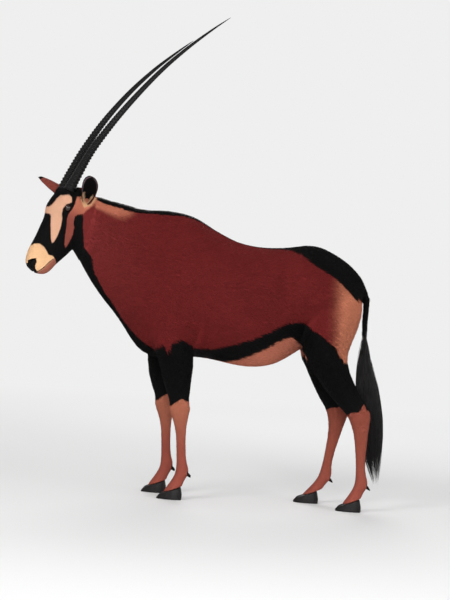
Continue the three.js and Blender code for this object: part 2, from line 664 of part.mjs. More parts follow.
function tuft() {
  const next = sequence(4409);
  const rowAt = (rows, z) => {
    const i = Math.max(1, rows.findIndex((row, k) => (k > 0 && row[0] <= z) || k === rows.length - 1));
    const [high, low] = [rows[i - 1], rows[i]];
    return between(rows, i - 1 + THREE.MathUtils.clamp((high[0] - z) / (high[0] - low[0]), 0, 1));
  };
  const rings = drawOut(TUFT_CORE, 10).map(([z, front, back, half]) => section({
    centre: vec((front + back) / 2, 0, z), across: vec(0, 1, 0), along: vec(-1, 0, 0), half,
    fore: (back - front) / 2, aft: (back - front) / 2, sides: 10,
  }));
  const locks = LOCK_ROWS.flatMap(({ count, from, length, width, flare }, row) => (
    Array.from({ length: count }, (_, k) => {
      const angle = ((k + 0.5 * (row % 2) + 0.35 * (next() - 0.5)) / count) * 2 * Math.PI;
      const reach = length * (0.82 + 0.36 * next());
      const sway = next() - 0.5;
      const points = [0, 0.3, 0.62, 0.86, 1].map((t) => {
        const z = from - reach * t;
        const inner = rowAt(TUFT_CORE, z);
        const outer = rowAt(TUFT_ROWS, z);
        const out = THREE.MathUtils.smoothstep(t, -0.25, 0.6);
        const [, front, back, half] = inner.map((size, k) => mix(size, outer[k], out));
        const lie = mix(0.7, 0.9, out) - 0.2 * Math.max(0, t - 0.8) * (1 + sway);
        const turn = angle + 0.7 * sway * t;
        return vec((front + back) / 2 + Math.cos(turn) * ((back - front) / 2) * lie, Math.sin(turn) * half * lie, z);
      });
      return lock(points, vec(-Math.sin(angle), Math.cos(angle), 0), width * (0.85 + 0.3 * next()), 8);
    })));
  return largest(join([solidThrough(rings), ...locks]));
}

// The head whole: skull and jaws, horn and ear roots, lids, mouth and nostrils.
function build() {
  const named = {};
  const turned = (solid) => solid.transform(headTurn.toArray());
  const horns = { left: horn(1), right: horn(-1) };
  const pedicles = Object.values(horns).map(({ root, run }) => (
    rod([root.clone().addScaledVector(run, -40), root.clone().addScaledVector(run, -GAP)], [27, 25.5], 16)));
  const room = ({ root, run }, wide) => (
    rod([root.clone().addScaledVector(run, -GAP / 2), root.clone().addScaledVector(run, 60)], wide, 16));
  let headLocal = headLoft();
  for (const side of [1, -1]) {
    const { swell, opening } = lids(side);
    headLocal = headLocal.add(swell).subtract(opening.subtract(eyeball(side, EYE_RADIUS - 4)))
      .subtract(eyeball(side, EYE_RADIUS + GAP)).subtract(nostril(side));
    named[side > 0 ? 'eye_left' : 'eye_right'] = [turned(eyeball(side, EYE_RADIUS)), 'eye'];
  }
  headLocal = headLocal.subtract(mouthGroove());
  const ears = {};
  for (const [name, [side, lean, opening]] of Object.entries(EARS)) {
    const root = onHead(side > 0 ? 0 : -2, side > 0 ? -122 : -112, side * 50);
    const run = vec(...lean).normalize();
    const shape = ear(root, root.clone().addScaledVector(run, EAR_LENGTH + 20), vec(...opening));
    const seat = root.clone().addScaledVector(run, 26);
    const [outer, stub] = partByPlane(shape, seat, run);
    ears[name] = { outer, stub, root: seat, run };
  }
  const skull = join([turned(headLocal), ...pedicles])
    .subtract(join(Object.values(horns).map((each) => room(each, [30, 40]))))
    .subtract(join(Object.values(ears).map((each) => room(each, [27, 46]))))
    .add(join(Object.values(ears).map(({ stub }) => stub)));
  let whole = join([trunk(), skull, ...Object.values(LEGS).map(legSolid),
    ...Object.values(LEGS).flatMap(dewclaws), dock()]);

  for (const [name, leg] of Object.entries(LEGS)) {
    const fore = leg.rows === FORE_ROWS;
    const [x0, x1] = fore ? [-420, -40] : [326, 800];
    const y = leg.side > 0 ? [2, 400] : [-400, -2];
    const topCut = fore ? 570 : 622;
    const lowCut = fore ? 340 : 372;
    let limb;
    [limb, whole] = partAlong(whole, [x0, y[0], -60], [x1, y[1], topCut]);
    const [upper, lower] = partByPlane(limb, vec(0, 0, lowCut), vec(0, 0, 1));
    const [shank] = partByPlane(lower, coronetPoint(leg), CORONET_NORMAL);
    named[`leg_${name}_upper`] = [upper, 'dark'];
    named[`leg_${name}_lower`] = [shank, 'leg'];
    for (const [where, inner] of [['inner', -leg.side], ['outer', leg.side]]) {
      const [, horny] = partByPlane(claw(leg, inner), coronetPoint(leg), CORONET_NORMAL);
      named[`hoof_${name}_${where}`] = [horny, 'hoof'];
    }
  }

  let neckAndHead;
  [neckAndHead, whole] = partByPlane(whole, vec(-300, 0, 1000), vec(-1, 0, 0.22));
  const [head, neck] = partByPlane(neckAndHead, onHead(60, -178, 0), vec(-0.96, -0.2, 0.2));
  const [tail, torso] = partAlong(whole, [603, -60, 400], [900, 60, 893]);
  const [dockUpper] = partByPlane(tail, vec(0, 0, 730), vec(0, 0, 1));
  named.torso = [torso, 'coat'];
  named.neck = [neck, 'coat'];
  named.head = [head, 'coat'];
  named.tail_dock = [dockUpper, 'dark'];
  named.tail_tuft = [tuft().trimByPlane([0, 0, -1], -(730 - GAP / 2)), 'dark'];
  for (const side of ['left', 'right']) {
    named[`horn_${side}`] = [horns[side].solid, 'horn'];
    named[`ear_${side}`] = [ears[side].outer, 'coat'];
  }
  return named;
}

function meshOf(name, solid, look) {
  const { numProp, vertProperties, triVerts } = solid.getMesh();
  const positions = new Float32Array((vertProperties.length / numProp) * 3);
  for (let i = 0; i < positions.length / 3; i++) {
    positions.set(vertProperties.subarray(i * numProp, i * numProp + 3), i * 3);
  }
  const geometry = new THREE.BufferGeometry();
  geometry.setAttribute('position', new THREE.BufferAttribute(positions, 3));
  geometry.setIndex(new THREE.BufferAttribute(new Uint32Array(triVerts), 1));
  geometry.computeVertexNormals();
  const mesh = new THREE.Mesh(geometry, new THREE.MeshStandardMaterial({ ...COLOURS[look], metalness: 0 }));
  mesh.name = name;
  return mesh;
}

const gemsbok = new THREE.Group();
for (const [name, [solid, look]] of Object.entries(build())) gemsbok.add(meshOf(name, solid, look));

// The origin is the middle of the animal's footprint, on the ground.
const bounds = new THREE.Box3().setFromObject(gemsbok);
const middle = bounds.getCenter(vec());
gemsbok.position.set(-middle.x, -middle.y, -bounds.min.z);

export default gemsbok;
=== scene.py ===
# %% [markdown]
# # A gemsbok at its real size
# The gemsbok is a heavy African antelope with long straight horns, a red-brown coat, black bands and a pale
# painted face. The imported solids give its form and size. Here it gets a living skin, a coat of short hair,
# ringed horns, wet eyes and a long black tail. Everything is in metres, and the animal faces -X.
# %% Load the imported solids
import math

import bmesh
import bpy
import numpy as np
from mathutils import Matrix, Vector
from mathutils.bvhtree import BVHTree


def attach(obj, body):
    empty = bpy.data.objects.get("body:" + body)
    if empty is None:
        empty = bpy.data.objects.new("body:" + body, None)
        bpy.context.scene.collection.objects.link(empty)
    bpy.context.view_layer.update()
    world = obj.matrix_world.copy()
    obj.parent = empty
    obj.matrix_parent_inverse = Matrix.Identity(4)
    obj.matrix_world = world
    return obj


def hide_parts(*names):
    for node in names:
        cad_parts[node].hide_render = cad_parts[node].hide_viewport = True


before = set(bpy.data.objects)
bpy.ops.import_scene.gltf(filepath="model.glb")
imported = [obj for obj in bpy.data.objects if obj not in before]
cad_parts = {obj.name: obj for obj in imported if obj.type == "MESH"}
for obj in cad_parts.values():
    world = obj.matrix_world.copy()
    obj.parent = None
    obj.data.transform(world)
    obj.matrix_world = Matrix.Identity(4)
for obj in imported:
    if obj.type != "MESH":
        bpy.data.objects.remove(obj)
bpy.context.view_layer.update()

# %% [markdown]
# ## Where things are
# The solids were drawn in millimetres, with the head in a frame of its own: along the face, out from the face,
# and to the animal's left. Repeating those few numbers lets every mark and fold be named in the same terms.
# %% The body's and the head's own measures
PACK_SHIFT = 43.2978  # mm the pack moved the animal along x
YAW, PITCH = math.radians(22), math.radians(67)
BROW = np.array((-702.0, -78.0, 1242.0))  # where the face meets the front of the horns
AHEAD = np.array((-math.cos(YAW), -math.sin(YAW), 0.0))
UP = np.array((0.0, 0.0, 1.0))
ALONG_FACE = AHEAD * math.cos(PITCH) - UP * math.sin(PITCH)
OUT_OF_FACE = AHEAD * math.sin(PITCH) + UP * math.cos(PITCH)
TO_LEFT = np.array((math.sin(YAW), -math.cos(YAW), 0.0))
HEAD_AXES = np.stack((ALONG_FACE, OUT_OF_FACE, TO_LEFT))


def placed(points):
    """Millimetres as drawn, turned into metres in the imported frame."""
    return (np.asarray(points, float) + (PACK_SHIFT, 0, 0)) / 1000


def measured(points):
    """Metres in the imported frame, turned back into the drawn millimetres."""
    return np.asarray(points, float) * 1000 - (PACK_SHIFT, 0, 0)


def on_head(spots):
    """Places on the head, turned into the body's millimetres."""
    return BROW + np.asarray(spots, float) @ HEAD_AXES


def head_places(points):
    return (np.asarray(points) - BROW) @ HEAD_AXES.T


def unit(v):
    v = np.asarray(v, float)
    return v / np.maximum(np.linalg.norm(v, axis=-1, keepdims=True), 1e-9)


def eased(low, high, x):
    """0 below low, 1 above high, smooth between."""
    t = np.clip((np.asarray(x, float) - low) / (high - low), 0, 1)
    return t * t * (3 - 2 * t)


def drawn_out(rows, count):
    """A table of sizes, drawn out smoothly to count rows."""
    rows = np.asarray(rows, float)
    t = np.linspace(0, len(rows) - 1, count)
    i = np.minimum(t.astype(int), len(rows) - 2)
    f = (t - i)[:, None]
    a, b, c, d = (rows[np.clip(i + k, 0, len(rows) - 1)] for k in (-1, 0, 1, 2))
    into, out, rise = (c - a) / 2, (d - b) / 2, c - b
    return b + f * (into + f * (3 * rise - 2 * into - out + f * (into + out - 2 * rise)))


print("muzzle's tip", np.round(placed(on_head((344, -62, 0))), 3))

# %% [markdown]
# ## Camera, floor and light
# The picture looks at the animal's left side, almost level, with a slight lean to one side. A pale floor that
# melts into the backdrop keeps attention on the animal, and large soft lamps show its form without hard shadows.
# %% The camera
scene = bpy.context.scene
DISTANCE, VIEW_HEIGHT, SENSOR = 9.0, 2.52, 24
TILT, LEAN = math.radians(2), math.radians(4)
VIEW_MIDDLE = (25.5, 0, 838.8)


def new_piece(name, data):
    piece = bpy.data.objects.new(name, data)
    scene.collection.objects.link(piece)
    return piece


looking = Vector((0, math.cos(TILT), -math.sin(TILT)))
upright = Vector((0, math.sin(TILT), math.cos(TILT)))
across = Vector((math.cos(LEAN), 0, 0)) + upright * math.sin(LEAN)
lifted = Vector((-math.sin(LEAN), 0, 0)) + upright * math.cos(LEAN)
camera = new_piece("camera", bpy.data.cameras.new("camera"))
camera.matrix_world = Matrix.Translation(Vector(placed(VIEW_MIDDLE)) - looking * DISTANCE) @ Matrix(
    (across, lifted, -looking)).transposed().to_4x4()
camera.data.sensor_fit, camera.data.sensor_height = "VERTICAL", SENSOR
camera.data.lens = SENSOR * DISTANCE / VIEW_HEIGHT
camera.data.clip_end = 200
scene.camera = camera
print("lens", round(camera.data.lens, 1), "mm")

# %% [markdown]
# ### Writing finishes as sums
# A finish is a small tree of nodes. Written as Python sums it reads like a recipe, so a socket is wrapped in a
# class that knows plus, minus, times and divide, and one method adds any other node.
# %% Sums of sockets
class Wire:
    """One output of a tree's node, ready to be used in a sum."""

    def __init__(self, recipe, socket):
        self.recipe, self.socket = recipe, socket

    def maths(self, operation, other=0.0, swapped=False):
        first, second = (other, self) if swapped else (self, other)
        return self.recipe.node("ShaderNodeMath", {0: first, 1: second}, operation=operation)

    def smooth(self, low, high):
        """0 below low, 1 above high, smooth between."""
        return self.recipe.node("ShaderNodeMapRange", {"Value": self, "From Min": low, "From Max": high},
                                interpolation_type="SMOOTHSTEP")


def sign(operation, swapped=False):
    return lambda wire, other: wire.maths(operation, other, swapped)


SIGNS = {"add": "ADD", "sub": "SUBTRACT", "mul": "MULTIPLY", "truediv": "DIVIDE", "pow": "POWER"}
for word, operation in SIGNS.items():
    setattr(Wire, f"__{word}__", sign(operation))
    setattr(Wire, f"__r{word}__", sign(operation, swapped=True))
print("a wire knows", ", ".join(SIGNS))


# %% Trees and finishes
class Recipe:
    """A node tree, and the one method that adds a node to it: sockets, then the output, then settings."""

    def __init__(self, tree):
        self.tree = tree

    def node(self, kind, sockets=None, output=0, **settings):
        made = self.tree.nodes.new(kind)
        for name, value in settings.items():
            setattr(made, name, value)

        def end(ends, key):
            return ends[key] if isinstance(key, int) else next(e for e in ends if key in (e.identifier, e.name))

        for key, value in (sockets or {}).items():
            if isinstance(value, Wire):
                self.tree.links.new(value.socket, end(made.inputs, key))
            else:
                end(made.inputs, key).default_value = value
        return Wire(self, end(made.outputs, output))


class Finish(Recipe):
    """A material."""

    def __init__(self, name, **constants):
        self.material = bpy.data.materials.new(name)
        self.material.use_nodes = True
        super().__init__(self.material.node_tree)
        self.surface = self.tree.nodes["Principled BSDF"]
        for socket, value in constants.items():
            self.surface.inputs[socket.replace("_", " ")].default_value = value

    def attribute(self, name, output="Fac"):
        return self.node("ShaderNodeAttribute", output=output, attribute_name=name)

    def cloud(self, scale, detail, roughness=0.5, stretch=None, turn=0, place=None):
        """Soft noise between 0 and 1, where wanted drawn out by a stretch and turned about y, in degrees."""
        place = place or self.node("ShaderNodeTexCoord", output="Object")
        if stretch:
            place = self.node("ShaderNodeMapping", {"Vector": place, "Scale": stretch,
                                                    "Rotation": (0, math.radians(turn), 0)})
        return self.node("ShaderNodeTexNoise", {"Vector": place, "Scale": scale, "Detail": detail,
                                                "Roughness": roughness})

    def blend(self, first, second, share):
        return self.node("ShaderNodeMix", {"Factor_Float": share, "A_Color": first, "B_Color": second},
                         "Result_Color", data_type="RGBA", clamp_factor=True)

    def shaded(self, colour, light):
        return self.node("ShaderNodeVectorMath", {0: colour, "Scale": light}, operation="SCALE")

    def feed(self, socket, wire):
        self.tree.links.new(wire.socket, self.surface.inputs[socket])

    def relief(self, height, distance, strength):
        self.feed("Normal", self.node("ShaderNodeBump", {"Height": height, "Distance": distance,
                                                         "Strength": strength}))


def paint(*channels):
    """A colour as seen on a screen, 0 to 255, as the renderer's light."""
    return tuple(((c / 255 + 0.055) / 1.055) ** 2.4 if c > 10 else c / 255 / 12.92 for c in channels) + (1.0,)


print("a mid grey is", round(paint(128, 128, 128)[0], 3), "of full light")

# %% [markdown]
# The floor's own material fades into plain light with the distance, so its far edge can't be seen. The sky is
# brighter for the camera than for the animal.
# %% Floor, backdrop and lamps
PALE, SKYLIGHT = (0.862, 0.862, 0.862, 1), 0.66
FLOOR_RADIUS, FLOOR_CORNERS = 60, 96
studio = Finish("studio floor", Roughness=0.9, Base_Color=(0.66, 0.66, 0.66, 1))
place = studio.node("ShaderNodeTexCoord", output="Object")
distance = studio.node("ShaderNodeVectorMath", {0: place}, "Value", operation="LENGTH")
glow = studio.node("ShaderNodeEmission", {"Color": PALE})
lit = Wire(studio, studio.surface.outputs[0])
melted = studio.node("ShaderNodeMixShader", {0: distance.smooth(1.2, 5.5), 1: lit, 2: glow})
studio.tree.links.new(melted.socket, studio.tree.nodes["Material Output"].inputs["Surface"])

floor_mesh = bpy.data.meshes.new("floor")
floor_mesh.from_pydata([(FLOOR_RADIUS * math.cos(a), FLOOR_RADIUS * math.sin(a), 0) for a in np.linspace(
    0, 2 * math.pi, FLOOR_CORNERS, endpoint=False)], [], [range(FLOOR_CORNERS)])
floor_mesh.materials.append(studio.material)
new_piece("floor", floor_mesh)

world = scene.world = bpy.data.worlds.new("studio")
world.use_nodes = True
backdrop = world.node_tree.nodes["Background"]
backdrop.inputs["Color"].default_value = PALE
seen = Recipe(world.node_tree).node("ShaderNodeLightPath", output="Is Camera Ray")
world.node_tree.links.new((seen * (1 - SKYLIGHT) + SKYLIGHT).socket, backdrop.inputs["Strength"])

for name, spot, size, power in (("key", (-3.2, -4.4, 4.2), 2.4, 150), ("front", (0.8, -6.5, 1.9), 3.6, 330),
                                ("fill", (4.8, -2.8, 2.2), 3.0, 70), ("back", (0.5, 4.5, 3.4), 3.0, 110)):
    lamp = bpy.data.lights.new(name, "AREA")
    lamp.shape, lamp.size, lamp.energy = "DISK", size, power
    stand = new_piece(name, lamp)
    stand.location = spot
    stand.rotation_euler = (Vector((0, 0, 0.9)) - Vector(spot)).to_track_quat("-Z", "Y").to_euler()

scene.view_settings.view_transform, scene.view_settings.look = "Standard", "None"
print("stage ready")

# %% [markdown]
# ## The skin
# Under the hair a gemsbok has one unbroken hide. The solids part it into legs, neck and head, so they are
# merged again: overlapping copies are turned into one closed surface by a voxel remesh, which forgets all the
# cuts. Sculpting by hand would work too, but this keeps the measured form.
# %% Merge the solids of flesh
FLESH = [n for n in sorted(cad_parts) if n.startswith(("leg_", "torso", "neck", "head", "tail_dock"))]
SKIN_VOXEL, OVERLAP = 0.0034, 0.0005


def merged_copy(names, swell=0.0):
    """Copies of some solids in one mesh, each welded and swollen a little so that they overlap."""
    gathered = bmesh.new()
    for name in names:
        part = bmesh.new()
        part.from_mesh(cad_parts[name].data)
        bmesh.ops.remove_doubles(part, verts=part.verts, dist=2e-5)
        part.normal_update()
        for vertex, move in [(v, v.normal * swell) for v in part.verts]:
            vertex.co += move
        kept = bpy.data.meshes.new("copy")
        part.to_mesh(kept)
        gathered.from_mesh(kept)
        part.free()
        bpy.data.meshes.remove(kept)
    mesh = bpy.data.meshes.new("merged")
    gathered.to_mesh(mesh)
    gathered.free()
    return mesh


def applied(piece):
    """The piece with its modifiers turned into a plain mesh."""
    graph = bpy.context.evaluated_depsgraph_get()
    mesh = bpy.data.meshes.new_from_object(piece.evaluated_get(graph), depsgraph=graph)
    piece.modifiers.clear()
    piece.data = mesh
    return piece


def changed(piece, kind, **settings):
    change = piece.modifiers.new(kind.lower(), kind)
    for name, value in settings.items():
        setattr(change, name, value)
    return applied(piece)


def remeshed(name, mesh, voxel):
    return changed(new_piece(name, mesh), "REMESH", mode="VOXEL", voxel_size=voxel)


skin = remeshed("skin", merged_copy(FLESH + ["eye_left", "eye_right"], OVERLAP), SKIN_VOXEL)
print("skin after the remesh", len(skin.data.polygons), "faces")

# %% [markdown]
# The solids are faceted, coarsely on the barrel and finely on the head, so each region is smoothed by its own
# amount: a weight per point, from which solid lies nearest and from where the point is.
# %% Which part of the body each point is in
def column(items, key, width=3, kind=float):
    """One value of every item, as rows of numbers."""
    flat = np.empty(len(items) * width, kind)
    items.foreach_get(key, flat)
    return flat.reshape(-1, width)


def points_of(mesh):
    return column(mesh.vertices, "co")


def normals_of(mesh):
    return column(mesh.vertex_normals, "vector")


def put_points(mesh, points):
    mesh.vertices.foreach_set("co", np.asarray(points, np.float32).ravel())
    mesh.update()


PARTS = ["torso", "neck", "head", "tail_dock", "leg_front_left", "leg_front_right", "leg_hind_left",
         "leg_hind_right", "ear_left", "ear_right"]
TORSO, NECK, HEAD, DOCK, FORELEGS, HIND_LEGS = 0, 1, 2, 3, (4, 5), (6, 7)


def part_tree():
    corners, faces, owners = [], [], []
    for name in sorted(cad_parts):
        owner = next((k for k, part in enumerate(PARTS) if name.startswith(part)), None)
        if owner is None:
            continue
        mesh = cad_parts[name].data
        start = len(corners)
        corners += [tuple(v.co) for v in mesh.vertices]
        faces += [tuple(start + i for i in p.vertices) for p in mesh.polygons]
        owners += [owner] * len(mesh.polygons)
    return BVHTree.FromPolygons(corners, faces), np.array(owners)


solid_tree, solid_owner = part_tree()


def part_of(points):
    """The number in PARTS of the solid that lies nearest to each point."""
    return np.array([solid_owner[solid_tree.find_nearest(p)[2]] for p in points.tolist()])


def smooth_by_weight(piece, weight, rounds, levels=20):
    """Several rounds of evening out, each point moved by its weight's share."""
    group = piece.vertex_groups.new(name="evening")
    steps = np.round(weight * levels).astype(int)
    for step in np.unique(steps):
        group.add(np.nonzero(steps == step)[0].tolist(), float(step) / levels, "REPLACE")
    changed(piece, "SMOOTH", vertex_group="evening", factor=1.0, iterations=rounds)
    piece.vertex_groups.clear()


points = points_of(skin.data)
places, part = measured(points), part_of(points)
near_head = eased(-480, -590, places[:, 0]) * eased(1000, 1060, places[:, 2])
weight = np.select([part == TORSO, part == NECK, part <= DOCK], [1.0, 1.0 - 0.75 * near_head, 0.1],
                   0.12 + 0.5 * eased(450, 640, places[:, 2]))
smooth_by_weight(skin, weight, 60)
print("skin evened out, by", round(float(weight.mean()), 2), "on average")

# %% [markdown]
# Most of the body needs few triangles once it is smooth. The head keeps all of its own, because its folds and
# openings are shaped next. Then the whole skin is sunk by the depth of the coat that will lie on it.
# %% Thin out the body's triangles and sink the skin
KEPT_SHARE, BEHIND_BROW = 0.19, -40
COAT_DEPTH = {TORSO: 2.0, NECK: 2.0, HEAD: 0.6, DOCK: 1.5}
LEG_COAT_DEPTH = 1.2
points = points_of(skin.data)
on_face = (part_of(points) == HEAD) & (head_places(measured(points))[:, 0] > BEHIND_BROW)
skin.vertex_groups.new(name="thin").add(np.nonzero(~on_face)[0].tolist(), 1.0, "REPLACE")
changed(skin, "DECIMATE", ratio=KEPT_SHARE, vertex_group="thin", use_collapse_triangulate=True)
skin.vertex_groups.clear()
print("skin now", len(skin.data.polygons), "triangles")
points = points_of(skin.data)
sink = np.array([COAT_DEPTH.get(k, LEG_COAT_DEPTH) for k in part_of(points)])
put_points(skin.data, points - normals_of(skin.data) * sink[:, None] / 1000)
print("skin sunk by up to", sink.max(), "mm")

# %% [markdown]
# ## Eyes, nostrils and mouth
# The remesh cannot hold a lid's edge, so the mesh is made finer only where it is needed, and the skin is then
# moved like clay: an almond opening over each eyeball, a comma-shaped nostril, and the long line of the mouth.
# %% Distances to marks drawn in a plane
def distance_to_line(line, flat, closed=False):
    """How far each flat point lies from a line of straight runs, and its share along the line."""
    line = np.asarray(line, float)
    ends = np.roll(line, -1, axis=0) if closed else line[1:]
    starts = line if closed else line[:-1]
    runs = np.linalg.norm(ends - starts, axis=1)
    before = np.concatenate(([0], np.cumsum(runs)))
    best, share = np.full(len(flat), 1e9), np.zeros(len(flat))
    for a, b, run, done in zip(starts, ends, runs, before):
        t = np.clip((flat - a) @ (b - a) / max(run * run, 1e-9), 0, 1)
        d = np.linalg.norm(flat - a - t[:, None] * (b - a), axis=1)
        nearer = d < best
        best = np.where(nearer, d, best)
        share = np.where(nearer, (done + t * run) / before[-1], share)
    return best, share


def distance_to_patch(outline, flat):
    """Distance to the edge of a patch, below nothing inside it."""
    best, _ = distance_to_line(outline, flat, closed=True)
    x, y = flat[:, 0], flat[:, 1]
    inside = np.zeros(len(flat), bool)
    outline = np.asarray(outline, float)
    for (ax, ay), (bx, by) in zip(outline, np.roll(outline, -1, axis=0)):
        if ay != by:
            inside ^= ((ay > y) != (by > y)) & (x < (bx - ax) * (y - ay) / (by - ay) + ax)
    return np.where(inside, -best, best)


EYE, EYE_RADIUS = np.array((46.0, -52.0, 62.0)), 20.0
NOSTRIL = [(291, -35), (300, -23), (312, -17), (323, -22), (331, -35)]
MOUTH = [(260 + 83 * math.sin(t * math.pi / 2), -101 + 43 * t ** 0.8) for t in np.linspace(0, 1, 14)]


def eye_frame(side):
    """The eye's middle and its three directions: along the opening, towards the upper lid, and outwards."""
    look = unit((0.2, 0.12, 0.97 * side))
    along = np.array((0.94, -0.3, -0.16 * side))
    along = unit(along - look * (along @ look))
    lid = np.cross(look, along)
    lid = lid if lid[1] > 0 else -lid
    return EYE * (1, 1, side), along, lid, look


def refine(piece, chosen, rounds):
    """Splits the edges whose two ends are chosen, each round again."""
    bm = bmesh.new()
    bm.from_mesh(piece.data)

    def marked():
        bm.verts.ensure_lookup_table()
        return chosen(head_places(measured(np.array([v.co for v in bm.verts]))))

    for _ in range(rounds):
        ends = marked()
        edges = [e for e in bm.edges if ends[e.verts[0].index] and ends[e.verts[1].index]]
        bmesh.ops.subdivide_edges(bm, edges=edges, cuts=1, use_grid_fill=True)
        bmesh.ops.triangulate(bm, faces=[f for f in bm.faces if len(f.verts) > 3])
        bm.verts.index_update()
        near = [bm.verts[i] for i in np.nonzero(marked())[0]]
        for _ in range(3):
            bmesh.ops.smooth_vert(bm, verts=near, factor=0.5, use_axis_x=True, use_axis_y=True, use_axis_z=True)
    bm.to_mesh(piece.data)
    bm.free()


def near_features(spots):
    eyes = np.linalg.norm(spots * (1, 1, 0) - EYE * (1, 1, 0), axis=1) < 25
    eyes &= np.abs(spots[:, 2]) > 36
    nose = (distance_to_line(NOSTRIL, spots[:, :2])[0] < 10) & (np.abs(spots[:, 2]) > 3)
    lips = distance_to_line(MOUTH, spots[:, :2])[0] < 4.5
    return eyes | ((nose | lips) & (spots[:, 0] > 240)) & (np.abs(spots[:, 2]) < 60)


refine(skin, near_features, 2)
print("skin with a finer face", len(skin.data.polygons), "triangles")

# %% [markdown]
# Inside the almond the skin drops behind the ball, and along its edge it rises over the ball as a thick lid, with
# a soft fold above. Points near the edge are moved onto it, so the opening is clean.
# %% Open the lids
def open_lids(spots, side):
    centre, along, lid, look = eye_frame(side)
    rel = spots - centre
    p, q, h = rel @ along, rel @ lid, rel @ look
    near = (np.hypot(p, q) < 33) & (h > -6) & (spots[:, 2] * side > 25)
    snap, step = 0.55, 0.2
    turn = np.linspace(0, 2 * math.pi, 64, endpoint=False)
    almond = np.stack((19 * np.cos(turn), 12.5 * np.sign(np.sin(turn)) * np.abs(np.sin(turn)) ** 1.2
                       - 1.5 * np.cos(turn)), axis=1)
    flat = np.stack((p, q), axis=1)[near]
    s = distance_to_patch(almond, flat)
    slope = np.stack([(distance_to_patch(almond, flat + d) - s) / step for d in ((step, 0), (0, step))], axis=1)
    flat = np.where(np.abs(s)[:, None] < snap, flat - slope * s[:, None], flat)
    s = np.where(np.abs(s) < snap, 0.0, s)
    r = np.hypot(*flat.T)
    ball = np.sqrt(np.maximum(EYE_RADIUS ** 2 - np.minimum(r, 19.6) ** 2, 0))
    deep = np.sqrt(np.maximum((EYE_RADIUS - 2.4) ** 2 - r ** 2, 0)) - 1
    height = h[near]
    rim = np.maximum(height, ball + 1.9 - 0.42 * s) + 0.7 * np.exp(-((s - 1.1) / 1.0) ** 2)
    above = eased(-3, 6, flat[:, 1])
    lids = rim - 1.1 * np.exp(-((s - 5.2) / 1.2) ** 2) * above + 0.5 * np.exp(-((s - 8.0) / 1.6) ** 2) * above
    held = eased(31, 24, r)
    height = np.where(s < 0, deep, height + (lids - height) * held)
    moved = spots.copy()
    moved[near] = centre + flat[:, :1] * along + flat[:, 1:] * lid + height[:, None] * look
    return moved


spots = head_places(measured(points_of(skin.data)))
for side in (1, -1):
    spots = open_lids(spots, side)
print("lids opened")

# %% [markdown]
# A nostril is a comma-shaped dip with a raised rim. The mouth is a groove between two soft lips, and a cleft
# parts the upper lip in the middle.
# %% Sink the nostrils and part the lips
turns = normals_of(skin.data) @ HEAD_AXES.T
muzzle = spots[:, 0] > 225
for side in (1, -1):
    chosen = muzzle & (spots[:, 2] * side > 2)
    d, share = distance_to_line(NOSTRIL, spots[chosen][:, :2])
    reach = np.interp(share, [0, 0.25, 0.5, 0.75, 1], [1.8, 4.0, 5.2, 4.8, 2.4])
    into = np.sqrt(np.maximum(1 - (d / reach) ** 2, 0))
    inward = -unit(turns[chosen & (distance_to_line(NOSTRIL, spots[:, :2])[0] < 6)].mean(0))
    edge = np.exp(-((d - reach - 1.4) / 1.5) ** 2)
    spots[chosen] += (8.5 * into - 1.1 * edge)[:, None] * inward

d, share = distance_to_line(MOUTH, spots[:, :2])
groove = np.exp(-(d / np.interp(share, [0, 1], [1.2, 1.9])) ** 2) * eased(0, 0.08, share)
lips = np.exp(-((d - 4.2) / 2.0) ** 2)
cleft = np.exp(-(spots[:, 2] / 1.3) ** 2) * (spots[:, 1] > -58) * (spots[:, 0] > 300)
cleft *= eased(-26, -32, spots[:, 1])
soft = eased(262, 285, spots[:, 0]) * muzzle
spots += turns * (soft * (-3.4 * groove + 0.9 * lips - 1.6 * cleft) - 1.5 * (1 - soft) * muzzle * groove)[:, None]
put_points(skin.data, placed(on_head(spots)))
print("nostrils and mouth shaped")

# %% [markdown]
# Hide folds where the body bends: across the throat where the head is carried low, behind the elbow, and in the
# web of skin between the flank and the thigh. They are shallow, so each is a soft line pressed into the sides.
# %% Folds at the throat, elbow and flank
# Each fold: its line on the animal's side, how deep it is and how wide.
FOLDS = [([(-588, 1062), (-560, 1092), (-528, 1106)], 2.2, 8), ([(-572, 1018), (-540, 1054), (-503, 1074)], 2.4, 9),
         ([(-548, 972), (-514, 1014), (-474, 1036)], 2.0, 10), ([(-92, 640), (-76, 690), (-72, 752)], 4.0, 14),
         ([(-212, 650), (-224, 716), (-214, 790)], 2.5, 18), ([(398, 640), (376, 702), (352, 772)], 4.5, 17)]
points, facing = points_of(skin.data), normals_of(skin.data)
places = measured(points)
sideways = eased(0.25, 0.6, np.abs(facing[:, 1]))
for line, deep, wide in FOLDS:
    d, share = distance_to_line(line, places[:, (0, 2)])
    places -= facing * (deep * np.exp(-(d / wide) ** 2) * np.sin(share * math.pi) ** 0.5 * sideways)[:, None]
put_points(skin.data, placed(places))
print(len(FOLDS), "folds on each side")

# %% [markdown]
# ## Ears
# An ear is a thin curled leaf of gristle. The solid has its true shape with flat facets, so a copy is remeshed
# finely and evened out. It joins the skin's mesh, rooted in the scalp.
# %% Ears, joined to the skin
EAR_VOXEL = 0.0013
ears = remeshed("ears", merged_copy(["ear_left", "ear_right"]), EAR_VOXEL)
smooth_by_weight(ears, np.full(len(ears.data.vertices), 0.6), 12)
changed(ears, "DECIMATE", ratio=0.16)
joined = bmesh.new()
joined.from_mesh(skin.data)
joined.from_mesh(ears.data)
bmesh.ops.triangulate(joined, faces=joined.faces[:])
joined.to_mesh(skin.data)
joined.free()
bpy.data.objects.remove(ears)
print("faults mended in the joined mesh:", skin.data.validate())
skin.data.shade_smooth()
print("skin with its ears", len(skin.data.polygons), "triangles")


